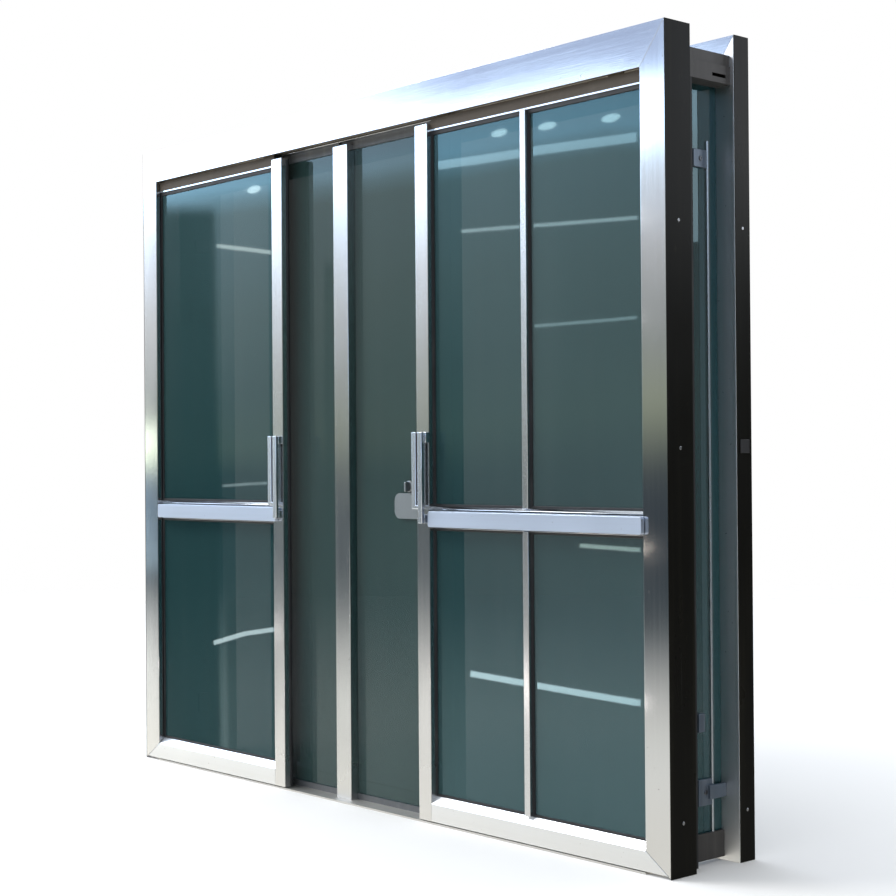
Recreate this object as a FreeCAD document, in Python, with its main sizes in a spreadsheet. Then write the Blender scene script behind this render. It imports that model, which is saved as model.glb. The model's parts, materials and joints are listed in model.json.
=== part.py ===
"""Glazed sliding door unit in stainless steel, drawn in millimetres.

Two leaves hang from carriages in a header track and slide toward the middle, in front
of a fixed light with a mullion. A second, open surround stands behind the first, and a
service duct, end ties and side panes join the two.

Places are written from the unit's left end (x), its front plane (y) and the floor (z).
The frame's origin is the middle of the base: +Z up, the front toward -Y, +X right.
"""
import FreeCAD, Part
import os
import re
import Sketcher
from FreeCAD import Placement, Rotation, Vector

doc = FreeCAD.newDocument("SlidingDoorUnit")

# ---------------------------------------------------------------- driving dimensions
DIMENSIONS = {
    # overall
    "unit_width": 2750, "unit_height": 2400, "unit_depth": 368,
    "front_depth": 108, "rear_depth": 65,
    # surrounds
    "post_face": 95, "header_face": 122, "sheet_wall": 3, "edge_round": 2,
    "mitre_gap": 0.4, "foot_gap": 1.6, "cover_wall": 2, "header_lip": 8,
    "sill_height": 5,
    # leaves
    "leaf_depth": 34, "leaf_foot": 8, "leaf_drop": 21, "jamb_gap": 3,
    "left_stile_edge": 934, "right_stile_edge": 1672,
    "stile_face": 61, "stile_wall": 2.5, "seal_proud": 6,
    "seal_wide": 7, "seal_setback": 3,
    "top_rail_drop": 32, "top_rail_tall": 33, "top_rail_setback": 18, "top_lip": 10,
    "bottom_rail_high": 65, "bead_high": 88, "bead_setback": 21,
    "mid_rail_low": 952, "mid_rail_high": 1022, "mid_rail_setback": 12,
    "mid_bead_drop": 8, "mid_bead_depth": 9, "bottom_groove": 14,
    "push_low": 957, "push_high": 1007, "push_proud": 16, "push_wall": 14,
    "push_inset": 24, "push_short": 29, "push_gap": 9, "push_over_post": 7,
    "backer_outer": 30, "backer_left_end": 40, "backer_right_start": 10, "backer_drop": 8,
    "leaf_glass": 6, "glass_front": 25, "glass_bite": 8, "gasket_wall": 0.5,
    "gasket_depth": 4, "gasket_face": 6, "gasket_sight": 12, "edge_wrap": 8,
    "edge_strip": 2, "bar_web_half": 1.5,
    "bar_face": 24, "bar_offset": 23.5, "bar_front": 8,
    # pull handles
    "handle_proud": 28, "grip_depth": 12, "grip_width": 21, "grip_gap": 9,
    "handle_low": 968, "handle_high": 1262, "bracket_height": 28, "tie_low": 1014,
    "tie_height": 12, "bracket_tab": 34, "tab_width": 8,
    # track, carriages and guides
    "track_front": 8, "track_back": 44, "track_lift": 5, "track_tall": 38,
    "track_wall": 2.5, "track_slot": 7, "track_bracket_half": 20, "bracket_inset": 120,
    "wheel_radius": 12, "wheel_width": 7, "wheel_clear": 2,
    "wheel_play": 0.3, "axle_radius": 3, "axle_fit": 0.05, "hanger_wall": 5,
    "hanger_length": 60, "hanger_inset": 110, "foot_height": 8,
    "hanger_over": 8, "bolt_head_radius": 2.5, "bolt_head_tall": 5, "bolt_spread": 18,
    "axle_half": 13,
    "stop_length": 30, "slide_travel": 355, "stop_gap": 3,
    "guide_front": 11, "guide_width": 10, "guide_groove": 20, "guide_play": 1,
    "guide_length": 60, "guide_inset": 70, "guide_clear": 3,
    # fixed light behind the leaves
    "light_gap": 4, "light_glass": 8, "light_overlap": 133,
    "jamb_face": 60, "mullion_face": 80, "mullion_offset": 76,
    "light_drop": 13, "light_head": 16, "light_channel": 20, "channel_wall": 6,
    # lock on the fixed light
    "lock_reach": 188, "lock_cover": 48, "lock_low": 977, "lock_high": 1062,
    "lock_wall": 11, "lock_nose": 26.4, "knob_reach": 120, "knob_height": 1084,
    "stem_radius": 7, "knob_radius": 20, "knob_wall": 8, "knob_proud": 24,
    "knob_grip_half": 4, "knob_grip_reach": 17, "stem_play": 0.5,
    "bolt_radius": 4, "bolt_inset": 31, "bolt_travel": 14, "bolt_rest": 996,
    "bolt_setback": 13, "bolt_guide_half": 14, "bolt_guide_depth": 20,
    "bolt_guide_lift": 10, "keeper_low": 986, "keeper_wall": 6,
    # end closures
    "pane_inset": 70, "pane_wall": 8, "tie_start": 60, "tie_width": 30,
    "tie_bottom": 10, "tie_top": 88, "duct_drop": 144, "duct_tray_tall": 52,
    "duct_lid_tall": 34, "duct_inset": 15, "lid_inset": 4, "cable_slot_front": 80,
    "cable_slot_back": 20, "cable_slot_low": 16, "cable_slot_high": 26, "tie_groove": 15,
    "pane_fit": 0.5,
    "clamp_drop": 360, "clamp_low": 206, "clamp_wall": 9, "clamp_front": 84,
    "upper_clamp_half": 26, "lower_clamp_half": 38, "clamp_screw_radius": 7,
    "clamp_screw_head": 3, "arm_reach": 20, "arm_half": 20, "arm_depth": 22,
    "stop_block": 408, "stop_block_half": 27, "stop_block_back": 110,
    "anchor_radius": 4.5, "anchor_spread": 1000, "anchor_front_inset": 16,
    "anchor_back_inset": 32, "screw_radius": 4, "screw_fit": 0.3, "screw_low": 150,
    "screw_drop": 560,
    "strike_size": 40, "strike_wall": 3, "strike_height": 1205, "rod_radius": 4,
    "rod_drop": 306, "rod_inset": 46,
}

# Places that follow from the sizes above, each from the unit's left end, front or floor.
FOLLOWING = {
    "header_low": "unit_height - header_face",
    "leaf_top": "header_low - leaf_drop",
    "top_rail_high": "header_low - top_rail_drop",
    "top_rail_low": "top_rail_high - top_rail_tall",
    "left_push_start": "post_face + push_inset",
    "left_push_end": "left_stile_edge - push_short",
    "right_push_start": "right_stile_edge + stile_face + push_gap",
    "right_push_end": "unit_width - post_face + push_over_post",
    "bar_centre": "(right_stile_edge + stile_face + unit_width - post_face - jamb_gap) / 2"
                  " - bar_offset",
    "track_low": "header_low + track_lift",
    "track_high": "track_low + track_tall",
    "light_start": "left_stile_edge - light_overlap",
    "light_end": "right_stile_edge + light_overlap",
    "mullion_centre": "(left_stile_edge + right_stile_edge) / 2 - mullion_offset",
    "mullion_start": "mullion_centre - mullion_face / 2",
    "mullion_end": "mullion_centre + mullion_face / 2",
    "light_top": "header_low - light_drop",
    "lock_start": "right_stile_edge - lock_reach",
    "lock_end": "right_stile_edge + lock_cover",
    "knob_centre": "right_stile_edge - knob_reach",
    "bolt_centre": "right_stile_edge + bolt_inset",
    "duct_low": "unit_height - duct_drop",
    "duct_step": "duct_low + duct_tray_tall",
    "duct_high": "duct_step + duct_lid_tall",
    "clamp_high": "unit_height - clamp_drop",
    "anchor_front": "front_depth - anchor_front_inset",
    "anchor_back": "unit_depth - anchor_back_inset",
    "rod_top": "unit_height - rod_drop",
}

sheet = doc.addObject("Spreadsheet::Sheet", "Sheet")
for row, (alias, value) in enumerate(DIMENSIONS.items(), start=1):
    sheet.set(f"A{row}", alias.replace("_", " "))
    sheet.set(f"B{row}", str(value))
    sheet.setAlias(f"B{row}", alias)
doc.recompute()


def say(text):
    """A size written with plain names, as an expression on the sheet."""
    def spell(word):
        name = word.group(0)
        return f"({say(FOLLOWING[name])})" if name in FOLLOWING else "Sheet." + name
    return re.sub(r"[a-z][a-z_]+", spell, str(text))


# ---------------------------------------------------------------- shared helpers
MIDDLE_X = "unit_width / 2"
MIDDLE_Y = "(unit_depth - handle_proud) / 2"
TURNS = {"x": Rotation(Vector(0, 1, 0), 90), "y": Rotation(Vector(1, 0, 0), -90),
         "z": Rotation()}


def place(piece, x, y, z):
    """Ties a piece's corner or centre to a place given from the left, front and floor."""
    piece.setExpression("Placement.Base.x", say(f"({x}) - {MIDDLE_X}"))
    piece.setExpression("Placement.Base.y", say(f"({y}) - {MIDDLE_Y}"))
    piece.setExpression("Placement.Base.z", say(z))


def block(name, x, y, z):
    """A rectangular block between the low and the high text of each direction."""
    piece = doc.addObject("Part::Box", name)
    for side, (low, high) in zip(("Length", "Width", "Height"), (x, y, z)):
        piece.setExpression(side, say(f"({high}) - ({low})"))
    place(piece, x[0], y[0], z[0])
    return piece


def rod(name, along, x, y, z, radius, length):
    """A round bar that starts at a place and runs a length along one direction."""
    piece = doc.addObject("Part::Cylinder", name)
    piece.Placement = Placement(Vector(), TURNS[along])
    piece.setExpression("Radius", say(radius))
    piece.setExpression("Height", say(length))
    place(piece, x, y, z)
    return piece


def joined(label, pieces):
    """One sub-part from pieces that touch, or from several alike that stand apart."""
    if len(pieces) == 1:
        whole = pieces[0]
    else:
        whole = doc.addObject("Part::MultiFuse", label)
        whole.Shapes = pieces
    whole.Label = label
    return whole


def cut(label, base, tools):
    """A piece less its holes and grooves."""
    whole = doc.addObject("Part::Cut", label)
    whole.Base = base
    whole.Tool = joined(label + "_cutter", tools)
    whole.Label = label
    return whole


def origin_plane(body, role):
    return next(f for f in body.Origin.OriginFeatures if f.Role == role)


def value_of(text):
    """The present value of a size text, for a sketch's first draft."""
    return float(sheet.evalExpression(say(text)))


def outline(body, role, points, name="Outline"):
    """A closed sketch through points, each tied to the sheet by two distances."""
    sketch = body.newObject("Sketcher::SketchObject", name)
    sketch.AttachmentSupport = (origin_plane(body, role), [""])
    sketch.MapMode = "FlatFace"
    values = [(value_of(u), value_of(v)) for u, v in points]
    count = len(points)
    for number, (u, v) in enumerate(values):
        after = values[(number + 1) % count]
        sketch.addGeometry(Part.LineSegment(Vector(u, v, 0), Vector(*after, 0)))
    for number in range(count):
        after = (number + 1) % count
        sketch.addConstraint(Sketcher.Constraint("Coincident", number, 2, after, 1))
    for number, (u, v) in enumerate(points):
        for kind, text, value in (("DistanceX", u, values[number][0]),
                                  ("DistanceY", v, values[number][1])):
            index = sketch.addConstraint(
                Sketcher.Constraint(kind, -1, 1, number, 1, value))
            sketch.setExpression(f"Constraints[{index}]", say(text))
    return sketch


def bar(label, role, points, length, x, y, z, reverse=False):
    """A straight bar: its section drawn on an origin plane and padded along the normal."""
    body = doc.addObject("PartDesign::Body", label)
    body.Label = label
    sketch = outline(body, role, points)
    pad = body.newObject("PartDesign::Pad", "Pad")
    pad.Profile = sketch
    pad.Reversed = reverse
    pad.setExpression("Length", say(length))
    place(body, x, y, z)
    return body


def notch(body, role, points, depth=None):
    """A pocket through a bar, or to a depth, that must take material away."""
    doc.recompute()
    before = body.Shape.Volume
    sketch = outline(body, role, points, "NotchOutline")
    pocket = body.newObject("PartDesign::Pocket", "Notch")
    pocket.Profile = sketch
    pocket.Reversed = role != "XZ_Plane"
    if depth is None:
        pocket.Type = "ThroughAll"
    else:
        pocket.setExpression("Length", say(depth))
    doc.recompute()
    if not body.Shape.Volume < before - 1:
        raise ValueError(f"{body.Label}: a notch took nothing away")


def soften(body, along, radius):
    """Rounds a bar's long edges."""
    doc.recompute()
    tip = body.Tip
    names = []
    for number, edge in enumerate(tip.Shape.Edges, start=1):
        ends = edge.Vertexes
        if len(ends) != 2:
            continue
        run = ends[1].Point - ends[0].Point
        if abs(getattr(run, along)) > 0.95 * run.Length:
            names.append(f"Edge{number}")
    fillet = body.newObject("PartDesign::Fillet", "Fillet")
    fillet.Base = (tip, names)
    fillet.setExpression("Radius", say(radius))


SUBPARTS = []


def keep(piece):
    """Marks a finished sub-part for its own file."""
    SUBPARTS.append(piece)
    return piece


# ---------------------------------------------------------------- the two surrounds
def post(label, side, depth, y, foot_notch):
    """A folded box post. Its head is mitred to the header and, at the front, its foot to
    the closed leaf's bottom rail."""
    face = "post_face - cover_wall"
    body = doc.addObject("PartDesign::Body", label)
    body.Label = label
    outer = outline(body, "XY_Plane", [("0", "0"), (face, "0"), (face, depth), ("0", depth)])
    pad = body.newObject("PartDesign::Pad", "Pad")
    pad.Profile = outer
    pad.setExpression("Length", say("unit_height"))
    soften(body, "z", "edge_round")
    wall = "sheet_wall"
    hollow = [(wall, wall), (f"{face} - {wall}", wall),
              (f"{face} - {wall}", f"{depth} - {wall}"), (wall, f"{depth} - {wall}")]
    notch(body, "XY_Plane", hollow)
    slope = "header_face / post_face"
    low = "unit_height - header_face - mitre_gap"
    high = f"unit_height - mitre_gap - ({slope}) * (cover_wall - 1)"
    over = "unit_height + 1"
    if side == "left":
        start, edge, tip, beyond = "cover_wall", face, "-1", f"{face} + 1"
    else:
        start, edge, tip, beyond = "unit_width - post_face", "0", f"{face} + 1", "-1"
    notch(body, "XZ_Plane", [(tip, high), (edge, low), (beyond, low), (beyond, over),
                             (tip, over)])
    if foot_notch:
        top = "bottom_rail_high + foot_gap"
        toe = "foot_gap + bottom_rail_high / post_face * (cover_wall - 1)"
        notch(body, "XZ_Plane", [(tip, toe), (edge, top), (beyond, top), (beyond, "-1"),
                                 (tip, "-1")], "leaf_depth + light_gap")
    place(body, start, y, "0")
    return keep(body)


def header(label, depth, y, slotted):
    """A folded header. The front one is open below, where the track hangs."""
    wall = "sheet_wall"
    face = "header_face"
    if slotted:
        points = [("0", "0"), ("0", face), (depth, face), (depth, "0"),
                  ("track_back", "0"), ("track_back", wall), (f"{depth} - {wall}", wall),
                  (f"{depth} - {wall}", f"{face} - {wall}"), (wall, f"{face} - {wall}"),
                  (wall, wall), ("header_lip", wall), ("header_lip", "0")]
    else:
        points = [("0", "0"), ("0", face), (depth, face), (depth, "0")]
    body = bar(label, "YZ_Plane", points, "unit_width - 2 * cover_wall",
               "cover_wall", y, "unit_height - header_face")
    if not slotted:
        notch(body, "YZ_Plane", [(wall, wall), (wall, f"{face} - {wall}"),
                                 (f"{depth} - {wall}", f"{face} - {wall}"),
                                 (f"{depth} - {wall}", wall)])
    inner = "post_face - cover_wall"
    length = "unit_width - 2 * cover_wall"
    rise = "header_face / post_face * cover_wall"
    notch(body, "XZ_Plane", [("-1", "-1"), (inner, "-1"), (inner, "0"),
                             ("0", f"{face} - {rise}"), ("-1", f"{face} - {rise}")])
    notch(body, "XZ_Plane", [(f"{length} + 1", "-1"), (f"{length} - ({inner})", "-1"),
                             (f"{length} - ({inner})", "0"), (length, f"{face} - {rise}"),
                             (f"{length} + 1", f"{face} - {rise}")])
    return keep(body)


FRONT = ("0", "front_depth")
REAR = ("unit_depth - rear_depth", "unit_depth")

for side in ("left", "right"):
    post(f"front_{side}_post", side, "front_depth", FRONT[0], True)
    post(f"rear_{side}_post", side, "rear_depth", REAR[0], False)
header("front_header", "front_depth", FRONT[0], True)
header("rear_header", "rear_depth", REAR[0], False)

SCREW_HEIGHTS = ("screw_low", "unit_height / 2", "unit_height - screw_drop")
covers, cover_screws = [], []
for side, start in (("left", "0"), ("right", "unit_width - cover_wall")):
    for frame_name, (front, back) in (("front", FRONT), ("rear", REAR)):
        end = f"{start} + cover_wall"
        cover = block(f"{frame_name}_{side}_cover", (start, end), (front, back),
                      ("0", "unit_height"))
        holes = []
        for number, height in enumerate(SCREW_HEIGHTS):
            middle = f"(({front}) + ({back})) / 2"
            name = f"{frame_name}_{side}_cover_{number}"
            holes.append(rod(name + "_hole", "x", f"{start} - 1", middle, height,
                             "screw_radius + screw_fit", "cover_wall + 2"))
            cover_screws.append(rod(name + "_screw", "x", start, middle, height,
                                    "screw_radius", "cover_wall"))
        covers.append(cut(cover.Name + "_plate", cover, holes))
keep(joined("end_covers", covers))
keep(joined("cover_screws", cover_screws))


def sill(label, y):
    """A floor plate between two posts, with its anchor holes."""
    plate = block(label + "_blank", ("post_face", "unit_width - post_face"), y,
                  ("0", "sill_height"))
    row = "anchor_front" if label == "front_sill" else "anchor_back"
    holes = [rod(f"{label}_hole_{number}", "z", f"unit_width / 2 {sign} anchor_spread", row,
                 "-1", "anchor_radius", "sill_height + 2")
             for number, sign in enumerate("-+")]
    return keep(cut(label, plate, holes))


sill("front_sill", FRONT)
sill("rear_sill", REAR)

# ---------------------------------------------------------------- duct, ties, side panes
DUCT_X = ("duct_inset", "unit_width - duct_inset")
BETWEEN = ("front_depth", "unit_depth - rear_depth")
DUCT_ROOM_Y = (f"{BETWEEN[0]} + sheet_wall", f"{BETWEEN[1]} - sheet_wall")
tray_outer = block("duct_tray_outer", DUCT_X, BETWEEN, ("duct_low", "duct_step"))
tray_inner = block("duct_tray_inner",
                   (f"{DUCT_X[0]} + sheet_wall", f"{DUCT_X[1]} - sheet_wall"),
                   DUCT_ROOM_Y, ("duct_low + sheet_wall", "duct_step + 1"))
cable_slots = [
    block(f"duct_cable_slot_{number}", (f"{x} - sheet_wall - 1", f"{x} + sheet_wall + 1"),
          (f"{BETWEEN[1]} - cable_slot_front", f"{BETWEEN[1]} - cable_slot_back"),
          ("duct_low + cable_slot_low", "duct_low + cable_slot_high"))
    for number, x in enumerate(DUCT_X)]
keep(cut("duct_tray", tray_outer, [tray_inner] + cable_slots))
LID_X = (f"{DUCT_X[0]} + lid_inset", f"{DUCT_X[1]} - lid_inset")
lid_top = block("duct_lid_top", LID_X, BETWEEN, ("duct_step", "duct_high"))
lid_room = block("duct_lid_room", (f"{LID_X[0]} + sheet_wall", f"{LID_X[1]} - sheet_wall"),
                 DUCT_ROOM_Y, ("duct_step - 1", "duct_high - sheet_wall"))
keep(cut("duct_lid", lid_top, [lid_room]))

PANE = {"left": ("pane_inset", "pane_inset + pane_wall"),
        "right": ("unit_width - pane_inset - pane_wall", "unit_width - pane_inset")}
TIE = {"left": ("tie_start", "tie_start + tie_width"),
       "right": ("unit_width - tie_start - tie_width", "unit_width - tie_start")}
ties, side_panes, edge_rods = [], [], []
clamp_cheeks, clamp_screws = [], []
for side in ("left", "right"):
    low, high = PANE[side]
    tie = block(f"{side}_tie_blank", TIE[side], BETWEEN, ("tie_bottom", "tie_top"))
    groove = block(f"{side}_tie_groove", (f"{low} - gasket_wall", f"{high} + gasket_wall"),
                   (f"{BETWEEN[0]} - 1", f"{BETWEEN[1]} + 1"),
                   ("tie_top - tie_groove", "tie_top + 1"))
    ties.append(cut(f"{side}_tie", tie, [groove]))
    side_panes.append(block(f"{side}_side_pane", PANE[side],
                            (f"{BETWEEN[0]} + pane_fit", f"{BETWEEN[1]} - pane_fit"),
                            ("tie_top - tie_groove + pane_fit", "duct_low - pane_fit")))
    edge_y = f"{BETWEEN[1]} - rod_inset"
    bead_x = f"{high} + rod_radius" if side == "right" else f"{low} - rod_radius"
    edge_rods.append(rod(f"{side}_edge_rod", "z", bead_x, edge_y, "tie_top", "rod_radius",
                         "rod_top - tie_top"))
    clamp_y = ("front_depth + clamp_front", f"{edge_y} - rod_radius - 1")
    for number, (height, half) in enumerate((("clamp_high", "upper_clamp_half"),
                                             ("clamp_low", "lower_clamp_half"))):
        z = (f"{height} - {half}", f"{height} + {half}")
        for cheek, x in enumerate(((f"{low} - clamp_wall", low),
                                   (high, f"{high} + clamp_wall"))):
            clamp_cheeks.append(block(f"{side}_clamp_{number}_{cheek}", x, clamp_y, z))
        screw_y = f"(({clamp_y[0]}) + ({clamp_y[1]})) / 2"
        for cheek, start in enumerate((f"{low} - clamp_wall - clamp_screw_head",
                                       f"{high} + clamp_wall")):
            clamp_screws.append(rod(f"{side}_clamp_screw_{number}_{cheek}", "x", start,
                                    screw_y, height, "clamp_screw_radius",
                                    "clamp_screw_head"))
    arm_x = (f"{high} + rod_radius * 2 + 1", f"{high} + arm_reach") if side == "right" else \
        (f"{low} - arm_reach", f"{low} - rod_radius * 2 - 1")
    root_x = (f"{high} + clamp_wall", f"{high} + arm_reach") if side == "right" else \
        (f"{low} - arm_reach", f"{low} - clamp_wall")
    arm_start = f"{clamp_y[1]} - arm_depth"
    arm_z = ("clamp_low - arm_half", "clamp_low + arm_half")
    arm = block(f"{side}_clamp_arm", arm_x, (arm_start, BETWEEN[1]), arm_z)
    root = block(f"{side}_clamp_arm_root", root_x, (arm_start, clamp_y[1]), arm_z)
    clamp_cheeks.append(joined(f"{side}_clamp_arm_whole", [arm, root]))
    block_x = (high, f"{high} + clamp_wall + clamp_screw_head") if side == "right" else \
        (f"{low} - clamp_wall - clamp_screw_head", low)
    clamp_cheeks.append(block(f"{side}_stop_block", block_x,
                              (clamp_y[0], "front_depth + stop_block_back"),
                              ("stop_block - stop_block_half",
                               "stop_block + stop_block_half")))
keep(joined("end_ties", ties))
keep(joined("side_panes", side_panes))
keep(joined("edge_rods", edge_rods))
keep(joined("glass_clamps", clamp_cheeks))
keep(joined("clamp_screws", clamp_screws))

strike_y = "unit_depth - rear_depth / 2"
strikes = []
for side, (start, end) in (("left", ("-strike_wall", "0")),
                           ("right", ("unit_width", "unit_width + strike_wall"))):
    strikes.append(block(f"{side}_strike_plate", (start, end),
                         (f"{strike_y} - strike_size / 2", f"{strike_y} + strike_size / 2"),
                         ("strike_height - strike_size / 2",
                          "strike_height + strike_size / 2")))
keep(joined("strike_plates", strikes))

# ---------------------------------------------------------------- track and fixed light
track_height = "track_high - track_low"
wide = "track_back - track_front"
wall = "track_wall"
slot_low = f"({wide} - track_slot) / 2"
slot_high = f"({wide} + track_slot) / 2"
track = bar("header_track", "YZ_Plane",
            [("0", "0"), ("0", track_height), (wide, track_height), (wide, "0"),
             (slot_high, "0"), (slot_high, wall), (f"{wide} - {wall}", wall),
             (f"{wide} - {wall}", f"{track_height} - {wall}"),
             (wall, f"{track_height} - {wall}"), (wall, wall), (slot_low, wall),
             (slot_low, "0")],
            "unit_width - 2 * post_face - 2", "post_face + 1", "track_front", "track_low")
keep(track)
TRACK_MIDDLE = "(track_front + track_back) / 2"
keep(joined("track_brackets", [
    block(f"track_bracket_{number}", (f"{x} - track_bracket_half", f"{x} + track_bracket_half"),
          ("track_front + sheet_wall", "track_back - sheet_wall"),
          ("track_high", "unit_height - sheet_wall"))
    for number, x in enumerate(("post_face + bracket_inset", "unit_width / 3",
                                "unit_width * 2 / 3",
                                "unit_width - post_face - bracket_inset"))]))

LIGHT_FRONT = "leaf_depth + light_gap"
LIGHT_GLASS = f"{LIGHT_FRONT} + leaf_depth"
LIGHT_BACK = f"{LIGHT_GLASS} + light_glass + channel_wall"
CHANNEL_FRONT = f"{LIGHT_GLASS} - channel_wall"
keep(joined("mullion", [block("mullion", ("mullion_start", "mullion_end"),
                              (LIGHT_FRONT, LIGHT_GLASS), ("sill_height", "light_top"))]))
keep(joined("light_jambs", [
    block(f"light_{side}_jamb", (start, f"{start} + jamb_face"), (LIGHT_FRONT, LIGHT_BACK),
          ("sill_height", "header_low"))
    for side, start in (("left", "light_start"), ("right", "light_end - jamb_face"))]))
LIGHT_X = ("light_start + jamb_face", "light_end - jamb_face")
head = block("light_head_blank", LIGHT_X, (CHANNEL_FRONT, LIGHT_BACK),
             ("light_top - light_head", "header_low"))
foot = block("light_foot_blank", LIGHT_X, (CHANNEL_FRONT, LIGHT_BACK),
             ("sill_height", "sill_height + light_channel"))
channels = []
for name, blank in (("light_head", head), ("light_foot", foot)):
    room = block(name + "_mullion_room", ("mullion_start", "mullion_end"),
                 (f"{CHANNEL_FRONT} - 1", LIGHT_GLASS), ("0", "unit_height"))
    groove_z = ("light_top - light_head - 1", "light_top + 4") if name == "light_head" else \
        ("sill_height + channel_wall", "sill_height + light_channel + 1")
    groove = block(name + "_groove", (f"{LIGHT_X[0]} - 1", f"{LIGHT_X[1]} + 1"),
                   (LIGHT_GLASS, f"{LIGHT_GLASS} + light_glass + gasket_wall"), groove_z)
    channels.append(cut(name, blank, [room, groove]))
keep(joined("light_channels", channels))
light_panes = []
for side, (start, end) in (("left", (f"{LIGHT_X[0]} + 1", "mullion_centre - 2")),
                           ("right", ("mullion_centre + 2", f"{LIGHT_X[1]} - 1"))):
    pane = block(f"light_{side}_blank", (start, end),
                 (LIGHT_GLASS, f"{LIGHT_GLASS} + light_glass"),
                 ("sill_height + channel_wall + 1", "light_top + 3"))
    if side == "right":
        hole = rod("light_knob_hole", "y", "knob_centre", f"{LIGHT_GLASS} - 1",
                   "knob_height", "stem_radius + axle_fit", "light_glass + 2")
        pane = cut("light_right_pane", pane, [hole])
    light_panes.append(pane)
keep(joined("light_panes", light_panes))

# ---------------------------------------------------------------- lock on the fixed light
LOCK_FRONT = f"{LIGHT_GLASS} - lock_wall"
case = doc.addObject("PartDesign::Body", "lock_plate")
case_length = "lock_end - lock_start"
case_height = "lock_high - lock_low"
case_sketch = outline(case, "XZ_Plane", [("0", "0"), (case_length, "0"),
                                         (case_length, case_height), ("0", case_height)])
case_pad = case.newObject("PartDesign::Pad", "Pad")
case_pad.Profile = case_sketch
case_pad.setExpression("Length", say("lock_wall"))
doc.recompute()
nose = [f"Edge{number}" for number, edge in enumerate(case_pad.Shape.Edges, start=1)
        if abs(edge.CenterOfMass.x) < 0.01
        and abs(edge.Vertexes[0].Y - edge.Vertexes[1].Y) > 1]
case_round = case.newObject("PartDesign::Fillet", "Nose")
case_round.Base = (case_pad, nose)
case_round.setExpression("Radius", say("lock_nose"))
place(case, "lock_start", LIGHT_GLASS, "lock_low")
BOLT_X = ("bolt_centre - bolt_guide_half", "bolt_centre + bolt_guide_half")
BOLT_Y = f"{LOCK_FRONT} - bolt_setback"
guide_blank = block("bolt_guide_blank", BOLT_X,
                    (f"{LOCK_FRONT} - bolt_guide_depth", LOCK_FRONT),
                    ("bolt_rest + bolt_guide_lift", "lock_high"))
guide = cut("bolt_guide", guide_blank, [
    rod("bolt_guide_hole", "z", "bolt_centre", BOLT_Y, "bolt_rest", "bolt_radius + axle_fit",
        "lock_high")])
keep(joined("lock_case", [case, guide]))
keep(joined("lock_bolt", [rod("lock_bolt", "z", "bolt_centre", BOLT_Y, "bolt_rest",
                              "bolt_radius", "lock_high - bolt_rest")]))
KNOB_FRONT = f"{LIGHT_GLASS} - knob_wall"
knob_base = rod("knob_disc", "y", "knob_centre", KNOB_FRONT, "knob_height",
                "knob_radius", "knob_wall - screw_fit")
knob_grip = block("knob_grip",
                  ("knob_centre - knob_grip_half", "knob_centre + knob_grip_half"),
                  (f"{LIGHT_GLASS} - knob_proud", KNOB_FRONT),
                  ("knob_height - knob_grip_reach", "knob_height + knob_grip_reach"))
knob_stem = rod("knob_stem", "y", "knob_centre", f"{LIGHT_GLASS} - stem_play", "knob_height",
                "stem_radius", "light_glass + stem_play * 8")
keep(joined("thumb_turn", [knob_base, knob_grip, knob_stem]))


# ---------------------------------------------------------------- leaves
def leaf(side):
    """One hung leaf: stile, rails, panes, seals, push rail and pull handle."""
    left = side == "left"
    inner = f"{side}_stile_edge"
    if left:
        outer = "post_face + jamb_gap"
        stile = ("left_stile_edge - stile_face", "left_stile_edge")
        field = (outer, stile[0])
    else:
        outer = "unit_width - post_face - jamb_gap"
        stile = ("right_stile_edge", "right_stile_edge + stile_face")
        field = (stile[1], outer)

    meeting_seal = make_stile(side, stile)
    make_rails(side, field)
    make_panes(side, field, meeting_seal)
    make_push_rail(side, field)
    make_handle(side, stile)
    make_carriages(side, stile, outer)


def make_stile(side, stile):
    """The hollow meeting stile, its lock keeper on the right leaf's back."""
    height = "leaf_top - leaf_foot"
    body = doc.addObject("PartDesign::Body", f"{side}_stile")
    body.Label = f"{side}_stile"
    sketch = outline(body, "XY_Plane", [("0", "0"), ("stile_face", "0"),
                                        ("stile_face", "leaf_depth"), ("0", "leaf_depth")])
    pad = body.newObject("PartDesign::Pad", "Pad")
    pad.Profile = sketch
    pad.setExpression("Length", say(height))
    soften(body, "z", "edge_round")
    wall = "stile_wall"
    notch(body, "XY_Plane", [(wall, wall), (f"stile_face - {wall}", wall),
                             (f"stile_face - {wall}", f"leaf_depth - {wall}"),
                             (wall, f"leaf_depth - {wall}")])
    place(body, stile[0], "0", "leaf_foot")
    cap = block(f"{side}_stile_cap", (f"{stile[0]} + edge_round", f"{stile[1]} - edge_round"),
                ("edge_round", "leaf_depth - edge_round"), ("leaf_top - 1", "leaf_top + 2"))
    keep(joined(f"{side}_meeting_stile", [body, cap]))
    seal_x = (stile[1], f"{stile[1]} + seal_proud") if side == "left" else \
        (f"{stile[0]} - seal_proud", stile[0])
    return block(f"{side}_meeting_seal", seal_x,
                 ("leaf_depth - seal_setback - seal_wide", "leaf_depth - seal_setback"),
                 ("leaf_foot + 2", "leaf_top - 2"))


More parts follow.
